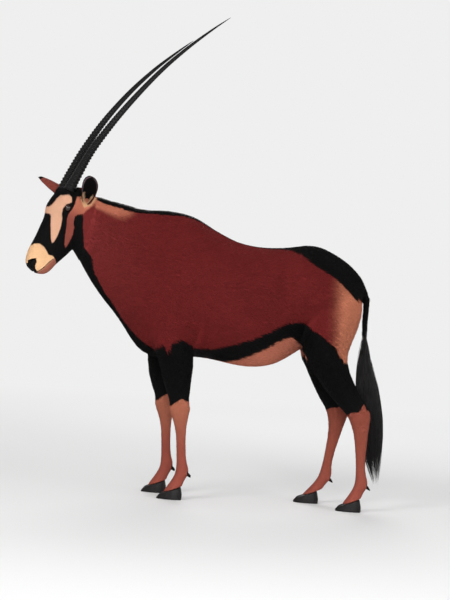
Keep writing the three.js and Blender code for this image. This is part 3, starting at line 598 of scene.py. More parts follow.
# %% [markdown]
# ## Markings
# Black bands, a pale painted face, a tan rump: each is an outline drawn on the animal's side or face, in
# millimetres. Every point of the skin is told how far it is from the nearest black edge, so that the finish can
# draw a crisp edge between the points, and it gets the colour that lies under the black.
# %% Outlines of the marks
PALE_BAND = [(11, -6), (1, -22), (-6, -34), (1, -47), (20, -54), (39, -36), (58, -33), (78, -39), (96, -53),
             (124, -63), (162, -71), (193, -71), (205, -65), (188, -52), (143, -27), (101, -8), (100, 1), (100, 25),
             (76, 25), (72, 9), (54, 4), (31, 0)]
CHEEK_BAND = [(-12, -66), (20, -69), (46, -68), (69, -64), (88, -69), (120, -86), (155, -101), (185, -116),
              (195, -128), (173, -131), (140, -129), (105, -116), (87, -102), (67, -94), (54, -100), (40, -119),
              (20, -124), (-30, -150), (-60, -130), (-28, -88)]
EAR_ROOT_PALE = [(-21, -85), (4, -112), (-12, -128), (-41, -137)]
MUZZLE = [(247, 30), (247, 0), (237, -4), (229, -21), (233, -42), (243, -59), (254, -73), (250, -90), (252, -103),
          (263, -117), (274, -130), (274, -220), (420, -220), (420, 30)]
NOSE = [(313, -11), (303, -16), (290, -32), (303, -41), (321, -44), (334, -56), (352, -62), (352, -20), (332, -24),
        (322, -17)]
BLACK_FACE = [(-95, 80), (420, 80), (420, -330), (291, -330), (237, -254), (193, -222), (168, -189), (129, -166),
              (91, -143), (57, -129), (40, -119), (54, -100), (20, -69), (-12, -66), (-28, -88), (-38, -98),
              (-48, -84), (-62, -40), (-95, -8)]
FLANK_AND_THIGH = [(-130, 640), (-82, 637), (-27, 641), (29, 652), (82, 671), (138, 692), (205, 723), (269, 763),
                   (306, 773), (346, 776), (395, 750), (446, 713), (490, 683), (500, 659), (537, 623), (590, 606),
                   (640, 600), (760, 600), (760, 200), (330, 200), (330, 614), (394, 588), (376, 640), (348, 674),
                   (306, 712), (262, 696), (210, 660), (143, 625), (88, 599), (31, 584), (-87, 599), (-130, 560)]
FORELEG = [(-272, 606), (-250, 630), (-217, 646), (-198, 610), (-181, 653), (-149, 671), (-107, 653), (-80, 632),
           (-60, 600), (-60, 200), (-300, 200), (-300, 600)]
THROAT = [(-600, 1030), (-552, 978), (-543, 925), (-497, 845), (-407, 725), (-315, 636), (-262, 606), (-262, 400),
          (-950, 400), (-950, 1030)]
CROUP = [(150, 1086), (189, 1064), (239, 1065), (281, 1063), (322, 1047), (371, 1017), (413, 995), (462, 970),
         (507, 936), (545, 901), (583, 866), (606, 842), (700, 800), (700, 1250), (150, 1250)]
RUMP = [(492, 950), (492, 871), (494, 809), (496, 748), (497, 683), (502, 659), (537, 600), (700, 560), (700, 850),
        (583, 880), (520, 925)]
BEHIND_EAR = [(-580, 1180), (-556, 1240), (-526, 1240), (-495, 1230), (-449, 1205), (-402, 1180), (-440, 1164),
              (-488, 1176), (-528, 1190), (-556, 1188)]
print("the flank band and thigh have", len(FLANK_AND_THIGH), "points")

# %% [markdown]
# The marks are drawn on the near legs. The two far legs have stepped ahead, so their points are moved back before
# they are compared with the outlines.
# %% How far each leg has stepped
# Each stepped leg: its knee's and its foot's move, the heights where the step starts and where the knee is, and
# how the move grows between the two.
STEPS = {"leg_front_right": (-66, -72, 760, 520, 0.8), "leg_hind_right": (-78, -170, 760, 400, 2.0)}


def stepped(name, z):
    """How far a leg is moved along x at height z: its knee and foot each by their own amount."""
    knee, foot, top, mid, ease = STEPS[name]
    over = knee * np.clip((top - z) / (top - mid), 0, 1) ** ease
    under = knee + (foot - knee) * np.clip((mid - z) / mid, 0, 1)
    return np.where(z > top, 0.0, np.where(z > mid, over, under))


def unstepped_x(places, part):
    x = places[:, 0].copy()
    for name in STEPS:
        own = part == PARTS.index(name)
        x[own] -= stepped(name, places[own, 2])
    return x


DEWCLAWS = {4: (-84, 104), 5: (-84, 104), 6: (664, 102), 7: (664, 102)}  # x and height of their roots
CLAW_LENGTH, CLAW_DROP, CLAW_REACH, LEG_MIDDLE = 26, 12, 17, 98


def near_dewclaw(places, part):
    """Below 0 on the two small horn cones behind each fetlock."""
    gap = np.full(len(places), 50.0)
    x, y, z = unstepped_x(places, part), np.abs(places[:, 1]), places[:, 2]
    for number, (root, height) in DEWCLAWS.items():
        t = np.clip((x - root) / CLAW_LENGTH, 0, 1)
        off = np.stack((x - root - CLAW_LENGTH * t, np.maximum(np.abs(y - LEG_MIDDLE) - 16, 0),
                        z - height + CLAW_DROP * t), axis=1)
        gap = np.where(part == number, np.maximum(np.linalg.norm(off, axis=1) - CLAW_REACH, root + 3 - x), gap)
    return gap


print("dewclaws on", len(DEWCLAWS), "legs")

# %% [markdown]
# One number per point: below nothing inside the black, above outside, in millimetres from its edge. Marks are
# joined by the smaller number and cut out of each other by the larger of one and the other's opposite.
# %% The black marks, as a distance to their edge
CLEAR = 200.0  # the distance given to points that are nowhere near a mark
THROAT_SWELL, LIP_LINE = 13, 1.3
GROIN_FROM, GROIN_HALF = 330, 46  # behind this x the belly's middle stays pale
PAD_FROM, PAD_HEIGHT, PAD_HALF, PAD_MIDDLE = 306, 31, 33, -45  # the bare nose pad, seen from the front


def crest_y(x):
    """Where the middle of the neck's crest and of the back lies, as the neck is turned a little."""
    return np.interp(x, [-650, -560, -300, 0], [-64, -50, -8, 0])


def black_distance(places, part, facing):
    x, z = unstepped_x(places, part), places[:, 2]
    side_view = np.stack((x, z), axis=1)
    spots = head_places(places)
    face_view = spots[:, :2]
    body = part <= NECK
    head = (part == HEAD) | ((part == NECK) & (spots[:, 1] > -330) & (spots[:, 0] < 330) & (z > 940))
    far = np.full(len(places), CLEAR)

    face = distance_to_patch(BLACK_FACE, face_view)
    for pale in (PALE_BAND, CHEEK_BAND, MUZZLE):
        face = np.maximum(face, -distance_to_patch(pale, face_view))
    lips = distance_to_line(MOUTH, face_view)[0] - LIP_LINE
    pad = (np.hypot(spots[:, 2] / PAD_HALF, (spots[:, 1] - PAD_MIDDLE) / PAD_HEIGHT) - 1) * 24
    nose = np.minimum(distance_to_patch(NOSE, face_view), np.where(spots[:, 0] > PAD_FROM, pad, far))
    face = np.minimum(face, np.minimum(np.where(spots[:, 0] > 255, lips, far), np.where(part == HEAD, nose, far)))
    black = np.where(head, face, far)

    throat = distance_to_patch(THROAT, side_view) - THROAT_SWELL
    black = np.where(body, np.minimum(black, throat), black)

    fore = distance_to_patch(FORELEG, side_view)
    fore_knee = np.interp(x, [-166, -150, -124, -95, -80], [391, 406, 423, 411, 404])
    fore = np.maximum(fore, fore_knee - z)
    hind = distance_to_patch(FLANK_AND_THIGH, side_view)
    hock = np.interp(x, [560, 582, 611, 631, 645], [398, 414, 416, 452, 426])
    hind = np.maximum(hind, hock - z)
    black = np.where(np.isin(part, FORELEGS), fore_knee - z, black)
    black = np.where(np.isin(part, HIND_LEGS), hock - z, black)
    hind = np.where(x > GROIN_FROM, np.maximum(hind, GROIN_HALF - np.abs(places[:, 1])), hind)
    black = np.where(part == TORSO, np.minimum(black, np.minimum(fore, hind)), black)

    half = np.interp(x, [-640, -500, -200, 100, 190], [22, 26, 21, 20, 34])
    upward = facing[:, 2] * 0.86 + facing[:, 0] * np.where(x < -350, 0.5, 0.0)
    spine = np.abs(places[:, 1] - crest_y(x)) - half + 60 * eased(0.45, 0.05, upward)
    black = np.where(body, np.minimum(black, spine), black)
    croup = distance_to_patch(CROUP, side_view)
    width = np.interp(z, [640, 700, 800, 850, 900, 960], [-10, 16, 34, 62, 130, 240])
    rear = np.abs(places[:, 1]) - width
    croup = np.where(x > 575, np.where(z > 640, np.minimum(np.maximum(croup, rear), rear), croup), croup)
    black = np.where(part == TORSO, np.minimum(black, croup), black)
    black = np.where(part == DOCK, -60.0, black)
    return np.minimum(black, near_dewclaw(places, part) - 1)


print("the bare nose pad is", 2 * PAD_HALF, "by", 2 * PAD_HEIGHT, "mm")

# %% [markdown]
# Under the black the coat is wine red, with a tan rump and streak behind the ear, a pale belly, rusty cheeks and
# a cream muzzle. Each is laid over the others by a share between 0 and 1.
# %% The colours under the black
BODY, NAPE, TAN = paint(102, 28, 28), paint(109, 35, 34), paint(185, 114, 87)
BELLY, STREAK = paint(186, 112, 90), paint(186, 112, 88)
CREAM, FACE_PALE, RUST, LIP = paint(216, 174, 132), paint(212, 166, 138), paint(139, 72, 61), paint(146, 88, 72)
SHIN_LIGHT, SHIN_RED, HIND_SHIN = paint(164, 98, 76), paint(136, 68, 56), paint(134, 69, 55)


def laid_over(under, colour, share):
    return under + (np.array(colour) - under) * np.clip(share, 0, 1)[:, None]


def ground_colour(places, part):
    x, z = unstepped_x(places, part), places[:, 2]
    side_view = np.stack((x, z), axis=1)
    spots = head_places(places)
    face_view = spots[:, :2]
    colour = np.tile(np.array(BODY), (len(places), 1))
    colour = laid_over(colour, NAPE, eased(-250, -500, x) * (part <= HEAD))
    belly_line = np.interp(x, [-87, 31, 143, 210, 262, 306, 340, 392], [618, 618, 660, 690, 725, 742, 720, 680])
    colour = laid_over(colour, BELLY, eased(12, -18, z - belly_line) * (x > -160) * (x < 430) * (part == TORSO))
    rump = distance_to_patch(RUMP, side_view)
    fade = np.interp(x, [440, 560], [75, 14])
    colour = laid_over(colour, TAN, eased(0.75, -0.55, rump / fade) * (part == TORSO))
    streak = distance_to_patch(BEHIND_EAR, side_view)
    soft = np.interp(x, [-540, -420], [9, 30])
    colour = laid_over(colour, STREAK, eased(1, -0.4, streak / soft) * (part == NECK))
    for legs, low, high, share in ((FORELEGS, SHIN_RED, SHIN_LIGHT, eased(180, 390, z)),
                                   (HIND_LEGS, HIND_SHIN, SHIN_RED, eased(200, 60, z))):
        colour = np.where(np.isin(part, legs)[:, None], laid_over(np.array(low), high, share), colour)
    head = part == HEAD
    upper = (part == NECK) | head
    rust = laid_over(np.array(RUST), STREAK, eased(80, 10, spots[:, 0]))
    colour = laid_over(colour, rust, eased(6, -3, distance_to_patch(CHEEK_BAND, face_view)) * upper)
    far_root = on_head((-2, -112, -50)) + 24 * unit((-0.85, 0.27, 0.49))  # the far ear's seat in the scalp
    fringe = np.where(spots[:, 2] > 0, distance_to_line(EAR_ROOT_PALE, face_view)[0],
                      np.linalg.norm(places - far_root, axis=1) - 16)
    colour = laid_over(colour, CREAM, eased(11, 5, fringe) * upper * 0.9)
    colour = laid_over(colour, FACE_PALE, eased(5, -3, distance_to_patch(PALE_BAND, face_view)) * head)
    muzzle = distance_to_patch(MUZZLE, face_view)
    colour = laid_over(colour, CREAM, eased(5, -3, muzzle) * head)
    under = np.interp(spots[:, 0], *zip(*MOUTH)) - spots[:, 1]
    colour = laid_over(colour, LIP, eased(-1, 4, under) * eased(5, -3, muzzle) * head)
    return colour


points, facing = points_of(skin.data), normals_of(skin.data)
places, part = measured(points), part_of(points)
black = black_distance(places, part, facing)
ground = ground_colour(places, part)
print("points per part", dict(zip(PARTS, np.bincount(part, minlength=10).tolist())))


# %% [markdown]
# An ear is pale inside at its root, dark in its cup and rusty outside with a dark tip. Each point's place in the
# ear's own frame tells how far it is from the free edge.
# %% The ears' own colours
# Root on the head, the way the tip points, and the way the cup opens, as in the solids.
EARS = {8: ((0, -122, 50), (0.14, -0.78, 0.61), (-0.3, -0.72, -0.5)),
        9: ((-2, -112, -50), (-0.85, 0.27, 0.49), (-0.35, 0.45, -0.8))}
# Shares of the ear's length, with its half width, its depth and how far round it curls, in degrees.
EAR_LENGTH = 188
EAR_SIZES = [(0.0, 17, 18, 172), (0.18, 22, 20, 146), (0.32, 28, 20, 124), (0.48, 33, 18, 110),
             (0.64, 35, 16, 102), (0.78, 33, 13, 96), (0.89, 26, 9, 90), (0.96, 16, 5, 84), (1.0, 6, 3, 84)]
EAR_BACK, EAR_RIM = paint(126, 60, 50), paint(120, 100, 108)


def ear_frame(number):
    root, axis, opening = EARS[number]
    axis = unit(axis)
    opening = unit(opening - axis * (np.array(opening) @ axis))
    return on_head(root), axis, opening, np.cross(axis, opening)


def ear_size(along):
    """Half width, depth and curl at a distance from the ear's root."""
    shares, *sizes = zip(*EAR_SIZES)
    return [np.interp(along / EAR_LENGTH, shares, size) for size in sizes]


def mark_ears(places, part, facing, colour, black):
    """Writes each ear's colours, and its black marks by the distance from its free edge."""
    for number in EARS:
        own = part == number
        root, axis, opening, side = ear_frame(number)
        rel = places[own] - root
        along = rel @ axis
        half, deep, curl = ear_size(along)
        a, o = rel @ side, rel @ opening + 6 * along / EAR_LENGTH
        angle = np.abs(np.degrees(np.arctan2(a / half, -o / deep)))
        rim = (curl - angle) * np.radians(1) * (half + deep) / 2
        inside = ((a[:, None] * side + o[:, None] * opening) * facing[own]).sum(1) < 0
        tint = np.where(inside[:, None], EAR_RIM, EAR_BACK)
        colour[own] = laid_over(tint, CREAM, eased(58, 34, along) * inside)
        within = np.minimum(rim - 3.0, 11.0 - rim * 0.9)
        within = np.where(along < 46, 12 - (46 - along) + within, within)
        outer = np.minimum(rim - 4.0, 170 - along)
        black[own] = np.where(inside, within, outer)


mark_ears(places, part, facing, ground, black)
print("ears coloured")

# %% [markdown]
# The far ear of the picture is slender and pointed, so its free end is drawn out a little.
# %% Draw out the far ear
FAR_EAR = PARTS.index("ear_right")
DRAWN_OUT, SLIMMED, DRAWN_FROM = 0.16, 0.3, 70
root, axis, _, _ = ear_frame(FAR_EAR)
own = part == FAR_EAR
rel = places[own] - root
along = rel @ axis
slim = 1 - SLIMMED * eased(80, EAR_LENGTH, along)
longer = along + np.maximum(along - DRAWN_FROM, 0) * DRAWN_OUT
places[own] = root + longer[:, None] * axis + (rel - along[:, None] * axis) * slim[:, None]
put_points(skin.data, placed(places))
facing = normals_of(skin.data)
print("far ear drawn out to", round(float(longer.max())), "mm")

# %% [markdown]
# ## The lie of the coat
# Hair leans the way the animal moves through grass: back along the flanks, down the legs, towards the muzzle on
# the face. Each point of the skin carries that direction and the length of its hair. An unwrap of the skin
# gives every tuft a place of its own on a flat map.
# %% Direction, length and thickness of the hair
def lie_of(places, part, facing):
    x, z = unstepped_x(places, part), places[:, 2]
    lie = np.tile((1.0, 0.0, -0.32), (len(places), 1))
    lie = lie + eased(0.3, 0.9, facing[:, 2])[:, None] * np.array((0.1, 0, 0.32))
    near_leg = eased(720, 560, z) * ((np.abs(x + 140) < 130) | (x > 420)) * (part == TORSO)
    rump = eased(430, 620, x) * (part == TORSO)
    chest = eased(-0.35, -0.9, facing[:, 0]) * (part <= NECK)
    neck = eased(-330, -520, x) * (part == NECK)
    for share, way in ((rump, (0.45, 0, -0.9)), (chest, (0.3, 0, -1.0)), (neck, (0.8, 0.25, -0.6)),
                       (np.where(part > DOCK, 1.0, near_leg), (0.16, 0, -1.0))):
        lie = laid_over(lie, way, share)
    poll = eased(20, -40, head_places(places)[:, 0])
    over_head = laid_over(ALONG_FACE * 0.95 - OUT_OF_FACE * 0.25, -OUT_OF_FACE, poll)
    lie = np.where((part == HEAD)[:, None], over_head, lie)
    for number in EARS:
        lie[part == number] = ear_frame(number)[1]
    lie[part == DOCK] = (0.1, 0, -1)
    return unit(lie)


def hair_length(places, part):
    """The hair's length at each point, in millimetres."""
    z = places[:, 2]
    spots = head_places(places)
    face = np.interp(spots[:, 0], [-40, 60, 220, 290, 345], [9, 6, 5, 3.2, 2.2])
    for side in (1, -1):
        face = face * (eased(10, 42, np.linalg.norm(spots - eye_frame(side)[0], axis=1)) * 0.55 + 0.45)
    neck = 17 - 7 * eased(-440, -590, places[:, 0])
    leg = np.interp(z, [60, 160, 420, 620], [4.0, 5.0, 7.5, 15])
    return np.select([part == TORSO, part == NECK, part == HEAD, part == DOCK, part <= max(HIND_LEGS)],
                     [17.0, neck, face, 16.0, leg], 5.5)


LID_RADIUS = 22.8


def bare(places, part):
    """1 on lids, nostrils and lips, where no hair grows."""
    spots = head_places(places)
    eyes = np.min([np.linalg.norm(spots - eye_frame(side)[0], axis=1) for side in (1, -1)], axis=0) < LID_RADIUS
    pad = np.hypot(spots[:, 2] / (PAD_HALF - 2), (spots[:, 1] - PAD_MIDDLE) / (PAD_HEIGHT - 2)) < 1
    pad &= spots[:, 0] > PAD_FROM
    nose = (distance_to_patch(NOSE, spots[:, :2]) < 0.5) | pad
    nostril = distance_to_line(NOSTRIL, spots[:, :2])[0] < 6
    lips = distance_to_line(MOUTH, spots[:, :2])[0] < 3.2
    bald = (part == HEAD) & (eyes | ((nose | nostril | lips) & (spots[:, 0] > 250)))
    return (bald | (near_dewclaw(places, part) < 0)) * 1.0


lie = lie_of(places, part, facing)
length, bald = hair_length(places, part), bare(places, part)
print("hair from", round(float(length.min()), 1), "to", round(float(length.max()), 1), "mm")


# %% [markdown]
# The layers are kept on the skin's points, where the rules and the finishes find them by name.
# %% Keep it all on the skin
def put_attribute(mesh, name, kind, key, values):
    layer = mesh.attributes.get(name) or mesh.attributes.new(name, kind, "POINT")
    layer.data.foreach_set(key, np.asarray(values, np.float32).ravel())


for name, kind, key, values in (
        ("ground", "FLOAT_COLOR", "color", ground), ("black", "FLOAT", "value", black),
        ("lie", "FLOAT_VECTOR", "vector", lie), ("long", "FLOAT", "value", length / 1000),
        ("haired", "FLOAT", "value", 1 - bald), ("leg", "FLOAT", "value", np.clip(-lie[:, 2] * 1.6 - 0.5, 0, 1))):
    put_attribute(skin.data, name, kind, key, values)

bpy.context.view_layer.objects.active = skin
skin.select_set(True)
bpy.ops.object.mode_set(mode="EDIT")
bpy.ops.mesh.select_all(action="SELECT")
bpy.ops.uv.smart_project(angle_limit=math.radians(70), island_margin=0.002)
bpy.ops.object.mode_set(mode="OBJECT")
skin.data.uv_layers[0].name = "Hide"
print("skin unwrapped")


# %% [markdown]
# ## Rules for what repeats
# Horn rings, tail hairs and tufts of coat all repeat, so each is one Geometry Nodes tree with named sizes. The
# tree grows the shape, its instances are made real, and the result is taken back as a plain mesh.
# %% Trees with named sizes
class Rule(Recipe):
    """A Geometry Nodes tree with named inputs."""

    KINDS = {float: "Float", int: "Int", "material": "Material", "object": "Object", "shape": "Geometry"}

    def __init__(self, name, **inputs):
        super().__init__(bpy.data.node_groups.new(name, "GeometryNodeTree"))
        self.tree.interface.new_socket("Geometry", in_out="OUTPUT", socket_type="NodeSocketGeometry")
        for label, kind in {"Geometry": "shape", **inputs, "Material": "material"}.items():
            self.tree.interface.new_socket(label, in_out="INPUT", socket_type="NodeSocket" + self.KINDS[kind])
        self.given = self.tree.nodes.new("NodeGroupInput")
        self.result = self.tree.nodes.new("NodeGroupOutput")

    def input(self, name):
        return Wire(self, self.given.outputs[name])

    def named(self, name, kind="FLOAT"):
        return self.node("GeometryNodeInputNamedAttribute", {"Name": name}, data_type=kind)

    def vector(self, operation, first, second, output=0):
        return self.node("ShaderNodeVectorMath", {0: first, (3 if operation == "SCALE" else 1): second}, output,
                         operation=operation)

    def chance(self, low, high, seed):
        return self.node("FunctionNodeRandomValue", {"Min_001": low, "Max_001": high, "Seed": seed}, "Value_001",
                         data_type="FLOAT")

    def swept(self, path, corners, radius, flatness=1.0):
        """A ring of corners swept along a path with a radius at every point of it."""
        ring = self.node("GeometryNodeCurvePrimitiveCircle", {"Resolution": corners, "Radius": 1.0})
        squeeze = self.node("ShaderNodeCombineXYZ", {"X": 1.0, "Y": flatness, "Z": 1.0})
        ring = self.node("GeometryNodeTransform", {"Geometry": ring, "Scale": squeeze})
        return self.node("GeometryNodeCurveToMesh", {"Curve": path, "Profile Curve": ring, "Scale": radius,
                                                     "Fill Caps": True})

    def finish(self, shape):
        real = self.node("GeometryNodeRealizeInstances", {"Geometry": shape})
        smooth = self.node("GeometryNodeSetShadeSmooth", {"Geometry": real})
        done = self.node("GeometryNodeSetMaterial", {"Geometry": smooth, "Material": self.input("Material")})
        self.tree.links.new(done.socket, self.result.inputs[0])
        print(self.tree.name, "is a rule of", len(self.tree.nodes), "nodes")

    def grow(self, name, mesh, finish, **sizes):
        """A plain mesh object grown from a mesh by this tree."""
        piece = new_piece(name, mesh)
        change = piece.modifiers.new(name, "NODES")
        change.node_group = self.tree
        sizes["Material"] = finish.material
        for item in self.tree.interface.items_tree:
            if item.in_out == "INPUT" and item.name in sizes:
                change[item.identifier] = sizes[item.name]
        return applied(piece)


def path_mesh(paths, **layers):
    """Loose edges along several paths, with a number on every point for each layer."""
    mesh = bpy.data.meshes.new("paths")
    starts = np.cumsum([0] + [len(p) for p in paths])
    edges = [(i, i + 1) for a, b in zip(starts[:-1], starts[1:]) for i in range(a, b - 1)]
    mesh.from_pydata(placed(np.concatenate(paths)).tolist(), edges, [])
    for name, values in layers.items():
        put_attribute(mesh, name, "FLOAT", "value", np.concatenate(values))
    return mesh


def settled(piece, slot, *nodes):
    """The piece moves with the body and stands for its solids. The slot is not used."""
    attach(piece, "root")
    if nodes:
        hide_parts(*nodes)
    print(piece.name, len(piece.data.polygons), "faces")


def outward(mesh):
    """Turns every face outwards."""
    bm = bmesh.new()
    bm.from_mesh(mesh)
    bmesh.ops.recalc_face_normals(bm, faces=bm.faces[:])
    bm.to_mesh(mesh)
    bm.free()


# %% [markdown]
# ## Horns
# Each horn is a bony core in a sheath of black keratin, about a metre long. Its lower half carries some two
# dozen rings, and the upper half is smooth and sharp. A rule suits this well: the radius is a taper plus rings
# that fade with the distance from the root, and a circle is swept along the horn's own path with that radius.
# %% The rule for a ringed horn
SWEEP_STEP, SIDES = 0.0021, 28
horns = Rule("ringed horn", Radius=float, Spacing=float, Height=float, Ringed=float)
path = horns.node("GeometryNodeMeshToCurve", {"Mesh": horns.input("Geometry")})
path = horns.node("GeometryNodeResampleCurve", {"Curve": path, "Length": SWEEP_STEP}, mode="LENGTH")
share = horns.node("GeometryNodeSplineParameter", output="Factor")
along = horns.node("GeometryNodeSplineParameter", output="Length")
taper = (1 - share) ** 0.62 * 0.985 + 0.015
flare = 1 - (1 - (share * -12).maths("EXPONENT")) * 0.28
unrest = horns.node("ShaderNodeTexNoise", {"Vector": horns.node("GeometryNodeInputPosition"), "Scale": 26.0})
wave = (along / horns.input("Spacing") + (unrest - 0.5) * 0.5) * (2 * math.pi)
crest = (wave.maths("SINE") * 0.5 + 0.5) ** 1.5
fading = 1 - (along / horns.input("Ringed")).smooth(0.45, 1.0)
radius = horns.input("Radius") * taper * flare + (crest - 0.35) * horns.input("Height") * fading
horns.finish(horns.swept(path, SIDES, radius))

# %% [markdown]
# Keratin grows in long fibres, so its grain is noise drawn out along the horn. The two horns' middle lines are
# those of the solids, seen from the side, and they spread a little towards the tips.
# %% Two horns
keratin = Finish("horn keratin", Roughness=0.36, Specular_IOR_Level=0.14)
grain = keratin.cloud(1.0, 4, 0.6, (300, 300, 26), 32)
blotch = keratin.cloud(30, 3)
keratin.feed("Base Color", keratin.blend(paint(10, 9, 9), paint(24, 21, 20), (grain - 0.42) * 1.3 * blotch))
keratin.feed("Roughness", grain * 0.3 + 0.26)
keratin.relief(grain, 0.0012, 0.6)

HORN_LINES = {
    "left": [(-653, 1250), (-619, 1324), (-567, 1429), (-484, 1557), (-391, 1681), (-298, 1791), (-203, 1886),
             (-108, 1970), (-33, 2030)],
    "right": [(-684, 1250), (-658, 1320), (-609, 1426), (-534, 1553), (-442, 1678), (-348, 1783), (-265, 1862),
              (-186, 1931)]}
ROOT_APART, TIP_APART, LINE_POINTS = 34, 38, 160
for name, side in (("left", 1), ("right", -1)):
    x, z = drawn_out(HORN_LINES[name], LINE_POINTS).T
    w = side * (ROOT_APART + TIP_APART * np.linspace(0, 1, LINE_POINTS) ** 1.2)
    y = BROW[1] + 16 + math.tan(YAW) * (x - x[0]) - w / math.cos(YAW)
    horn = horns.grow(f"horn_{name}_ringed", path_mesh([np.stack((x, y, z), axis=1)]), keratin, Radius=0.0238,
                      Spacing=0.0145, Height=0.0034, Ringed=0.47)
    settled(horn, "horn", f"horn_{name}")

# %% [markdown]
# ## Eyes
# A gemsbok's eye is dark brown, nearly black from a few steps away, with a pupil that lies level like a slot.
# The ball is a sphere with a slight bulge for the cornea. Its colours are drawn from the ball's own directions.
# %% Eyeballs
BALL, BULGE = 19.4, 1.3
wet_eye = Finish("wet eye", Roughness=0.08, Specular_IOR_Level=0.3, Coat_Weight=0.35, Coat_Roughness=0.03)
gaze = wet_eye.attribute("gaze", "Vector")
across_eye, up_eye = (wet_eye.node("ShaderNodeSeparateXYZ", {0: gaze}, k) for k in (0, 1))
ring_out = (across_eye * across_eye + up_eye * up_eye) ** 0.5
slot_out = ((across_eye / 0.42) ** 2.0 + (up_eye / 0.2) ** 2.0) ** 0.5
iris = wet_eye.blend(paint(52, 29, 17), paint(20, 11, 8), wet_eye.cloud(22, 4, place=gaze))
iris = wet_eye.blend(iris, paint(4, 3, 3), 1 - slot_out.smooth(0.9, 1.12))
wet_eye.feed("Base Color", wet_eye.blend(iris, paint(9, 6, 6), ring_out.smooth(0.62, 0.78)))


def eyeball(side, rows=40, turns=56):
    centre, along, lid, look = eye_frame(side)
    points, gazes = [], []
    for i in range(rows + 1):
        a = math.pi * i / rows
        bulge = BULGE * math.exp(-(math.degrees(a) / 30) ** 2)
        for k in range(turns if 0 < i < rows else 1):
            b = 2 * math.pi * k / turns
            way = math.cos(a) * look + math.sin(a) * (math.cos(b) * along + math.sin(b) * lid)
            points.append(centre + way * (BALL + bulge))
            gazes.append((way @ along, way @ lid, way @ look))
    last = len(points) - 1
    faces = [(0, 1 + k, 1 + (k + 1) % turns) for k in range(turns)]
    for i in range(rows - 2):
        for k in range(turns):
            a, b = 1 + i * turns + k, 1 + i * turns + (k + 1) % turns
            faces.append((a, a + turns, b + turns, b))
    faces += [(last, last - turns + (k + 1) % turns, last - turns + k) for k in range(turns)]
    mesh = bpy.data.meshes.new("eyeball")
    mesh.from_pydata(placed(on_head(points)).tolist(), [], faces)
    outward(mesh)
    put_attribute(mesh, "gaze", "FLOAT_VECTOR", "vector", gazes)
    mesh.shade_smooth()
    mesh.materials.append(wet_eye.material)
    return mesh


for name, side in (("left", 1), ("right", -1)):
    settled(new_piece(f"eyeball_{name}", eyeball(side)), "eye", f"eye_{name}")

# %% [markdown]
# ## Hooves
# Each foot ends in two claws of horn with a flat sole. The solids have their true outline, so a copy is remeshed
# finely, evened out above the sole, and ribbed with the fine rings that a growing claw leaves.
# %% Claws with growth rings
CLAW_VOXEL, RING_SPACING, RING_HEIGHT, SOLE = 0.0018, 0.0042, 0.00022, 0.0012
claw_horn = Finish("claw horn", Roughness=0.45, Specular_IOR_Level=0.16)
fine = claw_horn.cloud(1.0, 3, 0.6, (60, 60, 900))
worn = claw_horn.cloud(70, 4)
fresh = claw_horn.blend(paint(14, 12, 12), paint(30, 26, 25), (fine - 0.4) * 1.4)
claw_horn.feed("Base Color", claw_horn.blend(fresh, paint(92, 82, 76), (worn - 0.62) * 1.6))
claw_horn.feed("Roughness", worn * 0.35 + 0.3)
claw_horn.relief(fine, 0.0008, 0.6)

CLAWS = [n for n in sorted(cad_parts) if n.startswith("hoof_")]
claws = remeshed("claws", merged_copy(CLAWS), CLAW_VOXEL)
smooth_by_weight(claws, eased(0.002, 0.008, points_of(claws.data)[:, 2]) * 0.7, 14)
points, facing = points_of(claws.data), normals_of(claws.data)
height = points[:, 2] + 0.16 * np.abs(points[:, 0] - np.round(points[:, 0], 1))
ribs = np.sin(height * 2 * math.pi / RING_SPACING) * RING_HEIGHT * eased(0.003, 0.009, points[:, 2])
points += facing * ribs[:, None]
points[:, 2] = np.where(points[:, 2] < SOLE, 0.0, points[:, 2])
put_points(claws.data, points)
changed(claws, "DECIMATE", ratio=0.3)
claws.data.materials.append(claw_horn.material)
claws.data.shade_smooth()
settled(claws, "hoof", *CLAWS)

# %% [markdown]
# ## The tail's long hair
# The tail is a thin dock with a switch of long black hair, like a horse's. Every hair lock is a path from the
# dock down to its own tip, and one rule sweeps a narrow flat outline along all of them, thinner to the tip.
# %% The rule for locks of long hair
locks = Rule("locks along paths", Flatness=float)
paths_in = locks.node("GeometryNodeMeshToCurve", {"Mesh": locks.input("Geometry")})
locks.finish(locks.swept(paths_in, 3, locks.named("breadth"), locks.input("Flatness")))

black_hair = Finish("long black hair", Roughness=0.5, Specular_IOR_Level=0.3)
black_hair.feed("Base Color", black_hair.blend(paint(5, 4, 5), paint(24, 19, 18), black_hair.attribute("shade")))


def grow_locks(name, hairs, slot, *nodes, finish=black_hair, flatness=0.5):
    """Locks from rows of path, breadths in millimetres and shade."""
    paths, breadths, shades = zip(*hairs)
    layers = {"breadth": [b / 1000 for b in breadths], "shade": [np.full(len(p), s) for p, s in zip(paths, shades)]}
    settled(locks.grow(name, path_mesh(paths, **layers), finish, Flatness=flatness), slot, *nodes)


# %% [markdown]
# The tail's outline, measured from the solid, bounds the locks. They start around the dock, swell outwards, swing
# a little and end at different heights, so the tip thins out.
# %% Paths of the tail's hair
# Height, then the outline's front, back and half width there.
SWITCH = np.array([(110, 700, 724, 4), (170, 672, 728, 12), (240, 644, 730, 22), (310, 624, 731, 30),
                   (380, 610, 726, 38), (450, 601, 713, 44), (520, 595, 696, 44), (580, 594, 674, 40),
                   (640, 598, 656, 32), (690, 603, 646, 22), (730, 609, 634, 13)], float)
LOCK_POINTS = 11


